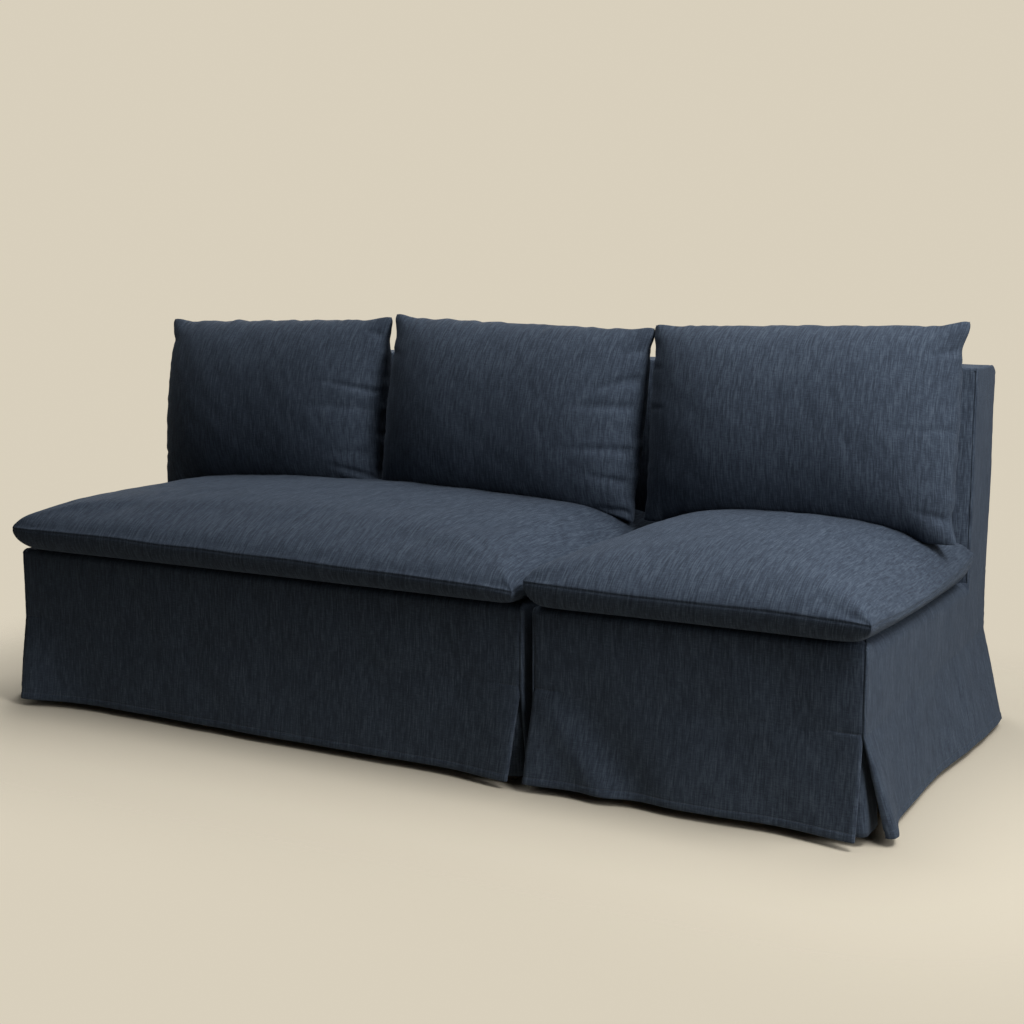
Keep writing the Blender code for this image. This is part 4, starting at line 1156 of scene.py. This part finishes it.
class BANQUETTE_OT_back_cushions(Operator):
    """Fills the back cushions: plump eared covers round loose inserts, leaning on the back"""

    bl_idname = "banquette.back_cushions"
    bl_label = "Fill the back cushions"

    def execute(self, context):
        settings = context.scene.banquette_cushions
        half = np.array(BACK_CUSHION_SIZE) / 2
        for place, facts in BACK_CUSHIONS.items():
            body = f"{place}_back_cushion"
            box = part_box(f"{place}_back_cushion_cover")
            points, faces, uv, held, plan = two_sided(*back_cushion_form(facts, settings, box))
            cover = add_piece(f"{place}_back_cover", points, faces, uv, "slubbed_linen")
            mark_plan(cover.data, plan)
            resting = points[:, 2] < seat_height(facts["seat"], points[:, 0], points[:, 1]) + 0.0015
            inside = np.min(half - np.abs(plan[:, :2]), axis=1)
            loose = np.exp(-inside / 0.06)
            held = np.union1d(held, np.flatnonzero(resting))
            placed = stuff(cover, held, loose, settings, settings.ease, settings.pressure, settings.cap)
            placed = keep_inside(placed, box, np.array([0.010, 0.003, 0.010]))
            write_points(cover.data, placed)
            refine(cover, lambda a, b, side: back_cushion_relief(facts, half, a, b, side))
            dress(cover, body, "navy_linen", f"{place}_back_cushion_cover")
            form = back_cushion_form(facts, settings, box, INSERT_INSET, INSERT_STEP)
            points, faces, uv, _, _ = two_sided(*form)
            insert = add_piece(f"{place}_back_insert", points, faces, uv, "ticking_cloth")
            dress(insert, body, "insert_ticking", f"{place}_back_cushion_insert")
        return {"FINISHED"}


# Foam pads

PAD_STEP = 0.03


def pad_form(low, high, top_slope, crown, axis):
    """Foam slab with rounded edges: two faces that meet half way up its walls, one of them crowned.

    The axis is 2 for the deck, whose top falls by the slope towards the rear, and 1 for the back.
    """
    flat = [0, 1] if axis == 2 else [0, 2]
    half = (high - low)[flat] / 2
    centre = ((high + low) / 2)[flat]
    a, b = centred(half, PAD_STEP)
    near, _, _ = soft_distance(half[0] - np.abs(a), half[1] - np.abs(b), 4.0)
    u, v = a / half[0], b / half[1]
    wall = edge_roll(near, 0.010, 0.5)
    thick = (high - low)[axis]
    faces = []
    for sign in (1.0, -1.0):
        outer = sign * wall * thick / 2 + (sign > 0) * crown * (1 - u**2) * (1 - v**2)
        if axis == 2:
            height = (low[2] + high[2]) / 2 + outer - top_slope * (b + half[1])
            faces.append(layered(centre[0] + a, centre[1] + b, height))
        else:
            face_y = (low[1] + high[1]) / 2 - outer
            faces.append(layered(centre[0] + a, face_y, centre[1] + b))
    return *faces, layered(a, b)


class BANQUETTE_OT_foam_pads(Operator):
    """Cuts the foam pads of the decks and backs, a little inside the slipcovers"""

    bl_idname = "banquette.foam_pads"
    bl_label = "Cut the foam pads"

    def execute(self, context):
        for prefix in MODULES:
            sizes = module_sizes(prefix)
            low, high = (np.array(corner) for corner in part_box(f"{prefix}_deck_pad"))
            low, high = low + np.array([0.006, 0.006, 0.0]), high - np.array([0.006, 0.002, 0.006])
            low[2] = high[2] - 0.036
            deck = two_sided(*pad_form(low, high, sizes["slope"], 0.0, 2))
            low, high = (np.array(corner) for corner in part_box(f"{prefix}_back_pad"))
            low, high = low + np.array([0.006, 0.004, 0.030]), high - np.array([0.006, 0.0005, 0.006])
            low[1] = sizes["back_face"] + 0.004
            back = two_sided(*pad_form(low, high, 0.0, 0.6 * sizes["crown"], 1))
            for part, (points, faces, uv, _, _) in {"deck": deck, "back": back}.items():
                made = add_piece(f"{prefix}_{part}_foam", points, faces, uv, "open_foam")
                dress(made, f"{prefix}_module", "pad_foam", f"{prefix}_{part}_pad")
        return {"FINISHED"}


# Feet and hidden frame

def foot_grid(node):
    """A square tapered foot with rounded arrises: a rounded square carried up, eased at its lower edge."""
    low, high = (np.array(corner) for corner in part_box(node))
    centre = (low[:2] + high[:2]) / 2
    half_top = (high[0] - low[0]) / 2
    height = high[2] - low[2]
    shares = np.array([0.0, 0.0, 0.015, 0.05, 0.1, 0.4, 0.7, 0.95, 1.0, 1.0])
    eased = np.array([0.0, 0.93, 0.97, 1.0, 1.0, 1.0, 1.0, 1.0, 0.985, 0.0])
    half = (half_top * (0.75 + 0.25 * shares) * eased)[:, None]
    angle = np.radians(np.arange(48) * 7.5 + 3.75)[None, :]
    square = 1.0 / (np.abs(np.cos(angle)) ** 14 + np.abs(np.sin(angle)) ** 14) ** (1 / 14)
    x = centre[0] + half * square * np.cos(angle)
    y = centre[1] + half * square * np.sin(angle)
    z = (low[2] + height * shares)[:, None]
    return layered(x, y, z), tube_quads(numbered(*x.shape)), layered(angle * half_top, z)


def weld(piece):
    """Joins the points that a grid's poles and seams bring to one place."""
    weld_points = piece.modifiers.new("weld", "WELD")
    weld_points.merge_threshold = 0.00005
    return piece


class BANQUETTE_OT_feet_and_frame(Operator):
    """Turns out the feet and finishes the frame and webbing inside the slipcovers"""

    bl_idname = "banquette.feet_and_frame"
    bl_label = "Finish the feet and frame"

    def execute(self, context):
        for prefix in MODULES:
            for corner in CORNERS:
                node = f"{prefix}_foot_{corner}"
                foot = weld(add_piece(f"{prefix}_{corner}_foot", *foot_grid(node), "foot_stain"))
                dress(foot, f"{prefix}_module", "foot_timber", node)
        finishes = {"_rail": "frame_boards", "_upright": "frame_boards", "_webbing": "jute_straps"}
        for name, node in frame["nodes"].items():
            for ending, finish in finishes.items():
                if name.endswith(ending):
                    node.data.materials.clear()
                    node.data.materials.append(bpy.data.materials[finish])
        return {"FINISHED"}


# Finishes

WEAVE_PITCH = 0.0013


class Wire:
    """A shader socket that takes part in Python sums: each operator adds one Math node."""

    def __init__(self, tree, socket):
        self.tree = tree
        self.socket = socket

    def maths(self, operation, *values):
        return self.tree.node("ShaderNodeMath", {"operation": operation}, dict(enumerate(values)))

    def __add__(self, other):
        return self.maths("ADD", self, other)

    __radd__ = __add__

    def __sub__(self, other):
        return self.maths("SUBTRACT", self, other)

    def __rsub__(self, other):
        return self.maths("SUBTRACT", other, self)

    def __mul__(self, other):
        return self.maths("MULTIPLY", self, other)

    __rmul__ = __mul__

    def __truediv__(self, other):
        return self.maths("DIVIDE", self, other)


class Recipe:
    """The nodes of a material or world, and the one method that adds to them."""

    def __init__(self, owner):
        owner.use_nodes = True
        self.tree = owner.node_tree

    def output(self, name):
        """The first output of a node that was there from the start."""
        return Wire(self, self.tree.nodes[name].outputs[0])

    def node(self, kind, settings=None, inputs=None, output=0):
        """A node of a kind with its settings and the values or links of its sockets."""
        made = self.tree.nodes.new(kind)
        for key, value in (settings or {}).items():
            setattr(made, key, value)
        for key, value in (inputs or {}).items():
            self.feed(made.inputs[key], value)
        return Wire(self, made.outputs[output])

    def feed(self, socket, value):
        if isinstance(value, Wire):
            self.tree.links.new(value.socket, socket)
        elif hasattr(value, "__len__") and len(socket.default_value) == 4:
            socket.default_value = (*value[:3], 1.0)
        else:
            socket.default_value = value

    def mix(self, factor, first, second):
        """One colour turning into another."""
        settings = {"data_type": "RGBA"}
        return self.node("ShaderNodeMix", settings, {0: factor, 6: first, 7: second}, 2)

    def mask(self, value, low, high):
        """0 below low and 1 above high, in a smooth S."""
        inputs = {"Value": value, "From Min": low, "From Max": high}
        return self.node("ShaderNodeMapRange", {"interpolation_type": "SMOOTHSTEP"}, inputs)

    def noise(self, place, detail=2.0, roughness=0.55):
        return self.node("ShaderNodeTexNoise", {}, {"Vector": place, "Scale": 1.0, "Detail": detail,
                                                   "Roughness": roughness})

    def vector(self, x, y, z):
        return self.node("ShaderNodeCombineXYZ", {}, {0: x, 1: y, 2: z})

    def bump(self, height, strength, distance):
        inputs = {"Strength": strength, "Distance": distance, "Height": height}
        return self.node("ShaderNodeBump", {}, inputs)

    def finish(self, **inputs):
        """Feeds the shader's sockets, each named in small letters with underscores."""
        shader = self.tree.nodes["Principled BSDF"]
        sockets = {socket.name.lower().replace(" ", "_"): socket for socket in shader.inputs}
        for key, value in inputs.items():
            self.feed(sockets[key], value)


def cloth_axes(recipe):
    """Places across and along the warp, in metres, from a piece's own map."""
    place = recipe.node("ShaderNodeUVMap", {"uv_map": CLOTH_MAP})
    across = recipe.node("ShaderNodeSeparateXYZ", {}, {0: place}, 0)
    along = recipe.node("ShaderNodeSeparateXYZ", {}, {0: place}, 1)
    return across, along


def weave(recipe, across, along, pitch):
    """Plain weave in relief: a sine across the threads times a sine along them."""
    turns = 2 * math.pi / pitch
    over = recipe.node("ShaderNodeMath", {"operation": "SINE"}, {0: across * turns})
    under = recipe.node("ShaderNodeMath", {"operation": "SINE"}, {0: along * turns})
    return over * under


def shaded(colour, share):
    """A colour made darker or paler by a share."""
    return tuple(share * part for part in colour)


def linen(finishes):
    """Navy linen: uneven warp and weft threads of three widths, pale slubs, and a plain weave in relief."""
    recipe = Recipe(bpy.data.materials.new("slubbed_linen"))
    across, along = cloth_axes(recipe)

    def threads(width, length, seed, detail=1.0):
        return recipe.noise(recipe.vector(across / width, along / length, seed), detail)

    warp = threads(0.0021, 0.026, 1.5)
    yarn = threads(0.0034, 0.040, 7.3)
    bands = threads(0.0090, 0.110, 3.9)
    weft = threads(0.014, 0.0016, 12.9)
    woof = threads(0.040, 0.0045, 17.7)
    grain = threads(0.0011, 0.0013, 31.7)
    broad = recipe.mask(threads(0.30, 0.38, 21.1), 0.30, 0.70)
    tone = 0.44 * warp + 0.12 * yarn + 0.03 * bands + 0.24 * weft + 0.03 * woof + 0.14 * grain
    ground = recipe.mix(recipe.mask(tone, 0.36, 0.58), finishes.shade, finishes.navy)
    colour = recipe.mix(0.46 * recipe.mask(tone, 0.50, 0.66), ground, finishes.fleck)
    colour = recipe.mix(0.09 * broad, colour, finishes.shade)
    height = 0.35 * weave(recipe, across, along, WEAVE_PITCH) + 2.0 * tone
    recipe.finish(
        base_color=colour, roughness=0.72 + 0.25 * tone, sheen_weight=0.08, sheen_roughness=0.35,
        sheen_tint=(0.55, 0.68, 0.92), specular_ior_level=0.06, normal=recipe.bump(height, 0.35, 0.0006))


def plain_cloth(name, ground, dark, pitch, roughness=0.9):
    """A closely woven cloth of one colour with a plain weave in relief."""
    recipe = Recipe(bpy.data.materials.new(name))
    across, along = cloth_axes(recipe)
    tone = recipe.noise(recipe.vector(across / 0.02, along / 0.03, 3.0))
    relief = recipe.bump(weave(recipe, across, along, pitch), 0.3, 0.0005)
    colour = recipe.mix(recipe.mask(tone, 0.3, 0.7), ground, dark)
    recipe.finish(base_color=colour, roughness=roughness, normal=relief)


def object_place(recipe, scale):
    """Object coordinates, stretched."""
    place = recipe.node("ShaderNodeTexCoord", {}, {}, 3)
    return recipe.node("ShaderNodeMapping", {}, {"Vector": place, "Scale": scale})


def wood(name, ground, scale, roughness):
    """Straight-grained timber: fine streaks along the board over a broad change of tone."""
    recipe = Recipe(bpy.data.materials.new(name))
    streaks = recipe.noise(object_place(recipe, scale), 5.0, 0.65)
    grain = recipe.mask(streaks, 0.32, 0.68)
    colour = recipe.mix(grain, shaded(ground, 0.55), ground)
    relief = recipe.bump(streaks, 0.25, 0.0008)
    recipe.finish(base_color=colour, roughness=roughness + 0.15 * grain, normal=relief)


def open_cells(name, ground):
    """Open-cell foam: a fine pitted surface with pale cell walls and painted shade in its pits."""
    recipe = Recipe(bpy.data.materials.new(name))
    place = object_place(recipe, (1.0, 1.0, 1.0))
    cells = recipe.node("ShaderNodeTexVoronoi", {}, {"Vector": place, "Scale": 420.0})
    # Painted shade: the colour darkens towards each cell's middle, where the bump sinks into a pit.
    colour = recipe.mix(recipe.mask(cells, 0.1, 0.6), shaded(ground, 0.7), ground)
    recipe.finish(base_color=colour, roughness=0.95, normal=recipe.bump(cells, 0.4, 0.001))


def straps(name, ground):
    """Jute webbing: coarse yarns both ways."""
    recipe = Recipe(bpy.data.materials.new(name))
    fibres = recipe.noise(object_place(recipe, (600.0, 600.0, 90.0)), 3.0)
    place = object_place(recipe, (1.0, 1.0, 1.0))
    yarns = recipe.node("ShaderNodeTexChecker", {}, {"Vector": place, "Scale": 330.0}, 1)
    colour = recipe.mix(recipe.mask(fibres, 0.3, 0.7), shaded(ground, 0.6), ground)
    recipe.finish(base_color=colour, roughness=0.9, normal=recipe.bump(yarns + fibres, 0.5, 0.0008))


class BANQUETTE_OT_finishes(Operator):
    """Mixes the finishes: navy linen, thread, ticking, stained feet, boards, jute and foam"""

    bl_idname = "banquette.finishes"
    bl_label = "Mix the finishes"

    def execute(self, context):
        finishes = context.scene.banquette_finishes
        linen(finishes)
        plain_cloth("navy_thread", shaded(finishes.navy, 0.9), finishes.shade, 0.0006, 0.7)
        plain_cloth("ticking_cloth", (0.74, 0.72, 0.67), (0.66, 0.63, 0.58), 0.0008)
        wood("foot_stain", tuple(finishes.foot), (90.0, 90.0, 9.0), 0.35)
        wood("frame_boards", tuple(finishes.timber), (9.0, 60.0, 60.0), 0.6)
        straps("jute_straps", (0.33, 0.25, 0.15))
        open_cells("open_foam", (0.78, 0.72, 0.55))
        return {"FINISHED"}


# Stage

CAMERA_PLACE = (1.5790, -2.7940, 0.9115)
CAMERA_PITCH = -0.14957
CAMERA_YAW = 0.50284
# Half the length and depth of the plan round which the floor fades out
FLOOR_CORE = (0.95, 0.45, 0.0)
LAMP_COLOUR = (1.0, 0.985, 0.96)
# For each lamp: its place, what it is aimed at, the side of its square and its share of the key power
LAMPS = {
    "key_light": ((1.9, -0.35, 2.3), (0.4, 0.0, 0.5), 0.8, 0.68),
    "side_light": ((1.9, -0.9, 1.9), (0.5, 0.0, 0.5), 0.8, 0.46),
    "low_light": ((3.0, -1.2, 1.3), (0.2, -0.3, 0.3), 1.2, 0.55),
    "top_light": ((-0.3, 0.4, 4.0), (-0.4, -0.6, 0.0), 3.0, 2.00),
    "rear_light": ((-2.8, 3.4, 2.6), (0.0, 0.2, 0.4), 2.4, 1.40),
}


def floor_grid():
    """Round floor: rings of points about the object, closer together near it."""
    radius = 7.5 * np.linspace(0.0, 1.0, 25)[1:, None] ** 1.5
    angle = np.radians(np.arange(0.0, 361.0, 5.0))[None, :]
    points = layered(radius * np.cos(angle), radius * np.sin(angle), 0.0)
    points = np.concatenate([np.zeros_like(points[:1]), points])
    return points, points[..., :2]


def floor_paint(colour):
    """Pale floor with painted shade, a little darker under the lamps to even out their light, which fades
    out into the background round the object.
    """
    recipe = Recipe(bpy.data.materials.new("floor_paint"))
    place = recipe.node("ShaderNodeTexCoord", {}, {}, 3)
    # Painted shade: the floor's colour runs from paler at -X, away from the lamps, to darker at +X under
    # them, to even out their light.
    tone = recipe.mask(recipe.node("ShaderNodeSeparateXYZ", {}, {0: place}, 0), -1.2, 1.6)
    floor_with_painted_shade = recipe.mix(tone, shaded(colour, 1.08), shaded(colour, 0.86))
    recipe.finish(base_color=floor_with_painted_shade, roughness=0.9, specular_ior_level=0.0)
    aside = recipe.node("ShaderNodeVectorMath", {"operation": "ABSOLUTE"}, {0: place})
    aside = recipe.node("ShaderNodeVectorMath", {"operation": "SUBTRACT"}, {0: aside, 1: FLOOR_CORE})
    aside = recipe.node("ShaderNodeVectorMath", {"operation": "MAXIMUM"}, {0: aside, 1: (0.0, 0.0, 0.0)})
    reach = recipe.node("ShaderNodeVectorMath", {"operation": "LENGTH"}, {0: aside}, 1)
    clear = recipe.node("ShaderNodeBsdfTransparent")
    opaque = recipe.output("Principled BSDF")
    both = recipe.node("ShaderNodeMixShader", {}, {0: recipe.mask(reach, 0.05, 0.70), 1: opaque, 2: clear})
    recipe.feed(recipe.tree.nodes["Material Output"].inputs["Surface"], both)


def room_light(settings):
    """World: an even weak light on the object, and a pale background for the camera and reflections."""
    world = bpy.data.worlds.new("soft_room")
    recipe = Recipe(world)
    lighting = recipe.tree.nodes["Background"]
    recipe.feed(lighting.inputs["Color"], (1.0, 0.98, 0.95))
    recipe.feed(lighting.inputs["Strength"], settings.fill)
    seen = recipe.node("ShaderNodeBackground", {}, {"Color": settings.background})
    shown = recipe.node("ShaderNodeLightPath", {}, {}, "Is Camera Ray")
    for kind in ("Is Glossy Ray", "Is Transmission Ray"):
        rays = recipe.node("ShaderNodeLightPath", {}, {}, kind)
        shown = recipe.node("ShaderNodeMath", {"operation": "MAXIMUM"}, {0: shown, 1: rays})
    both = recipe.node("ShaderNodeMixShader", {}, {0: shown, 1: recipe.output("Background"), 2: seen})
    recipe.feed(recipe.tree.nodes["World Output"].inputs["Surface"], both)
    return world


def area_light(name, place, target, size, power):
    """A square soft light aimed at a point."""
    data = bpy.data.lights.new(name, "AREA")
    data.shape = "SQUARE"
    data.size = size
    data.energy = power
    data.color = LAMP_COLOUR
    light = bpy.data.objects.new(name, data)
    bpy.context.scene.collection.objects.link(light)
    light.location = place
    light.visible_camera = False
    aim = np.array(target, float) - np.array(place, float)
    tip = math.acos(-aim[2] / np.linalg.norm(aim))
    light.rotation_euler = (tip, 0.0, math.atan2(aim[1], aim[0]) - math.pi / 2)


class BANQUETTE_OT_stage(Operator):
    """Sets the pale floor, the soft lights and the camera"""

    bl_idname = "banquette.stage"
    bl_label = "Set the stage"

    def execute(self, context):
        scene = context.scene
        settings = scene.banquette_stage
        points, uv = floor_grid()
        floor_paint(settings.floor)
        faces = quads(numbered(*points.shape[:2]))[:, ::-1]
        floor = add_piece("floor", points, faces, uv, "floor_paint")
        scene.world = room_light(settings)
        for name, (place, target, size, share) in LAMPS.items():
            area_light(name, place, target, size, share * settings.key)
        camera = bpy.data.objects.new("camera", bpy.data.cameras.new("camera"))
        scene.collection.objects.link(camera)
        camera.location = CAMERA_PLACE
        camera.rotation_euler = (math.pi / 2 + CAMERA_PITCH, 0.0, CAMERA_YAW)
        camera.data.sensor_width = 36.0
        camera.data.lens = settings.lens
        scene.camera = camera
        scene.view_settings.view_transform = "Standard"
        return {"FINISHED"}


class BANQUETTE_PT_sidebar(Panel):
    """Buttons and settings of the banquette"""

    bl_idname = "BANQUETTE_PT_sidebar"
    bl_label = "Banquette"
    bl_space_type = "VIEW_3D"
    bl_region_type = "UI"
    bl_category = "Banquette"

    def draw(self, context):
        for operator in OPERATORS:
            self.layout.operator(operator.bl_idname)
        for name in SETTINGS:
            group = getattr(context.scene, name)
            for key in group.__annotations__:
                self.layout.prop(group, key)


OPERATORS = (
    BANQUETTE_OT_finishes,
    BANQUETTE_OT_stage,
    BANQUETTE_OT_feet_and_frame,
    BANQUETTE_OT_foam_pads,
    BANQUETTE_OT_front_skirts,
    BANQUETTE_OT_backs,
    BANQUETTE_OT_ends,
    BANQUETTE_OT_pleats,
    BANQUETTE_OT_stitching,
    BANQUETTE_OT_seat_cushions,
    BANQUETTE_OT_back_cushions,
)
SETTINGS = {
    "banquette_slipcover": SlipcoverSettings,
    "banquette_cushions": CushionSettings,
    "banquette_finishes": FinishSettings,
    "banquette_stage": StageSettings,
}


def register():
    for group in SETTINGS.values():
        bpy.utils.register_class(group)
    for name, group in SETTINGS.items():
        setattr(bpy.types.Scene, name, PointerProperty(type=group))
    for operator in OPERATORS:
        bpy.utils.register_class(operator)
    bpy.utils.register_class(BANQUETTE_PT_sidebar)


def unregister():
    bpy.utils.unregister_class(BANQUETTE_PT_sidebar)
    for operator in reversed(OPERATORS):
        bpy.utils.unregister_class(operator)
    for name, group in SETTINGS.items():
        delattr(bpy.types.Scene, name)
        bpy.utils.unregister_class(group)


def remove_starting_objects():
    """Takes out what a new file holds besides the frame."""
    kept = set(frame["nodes"].values()) | set(frame["bodies"].values())
    for old in [item for item in bpy.data.objects if item not in kept]:
        bpy.data.objects.remove(old, do_unlink=True)


def main():
    remove_starting_objects()
    register()
    for operator in OPERATORS:
        getattr(bpy.ops.banquette, operator.bl_idname.split(".")[1])()


if __name__ == "__main__":
    main()
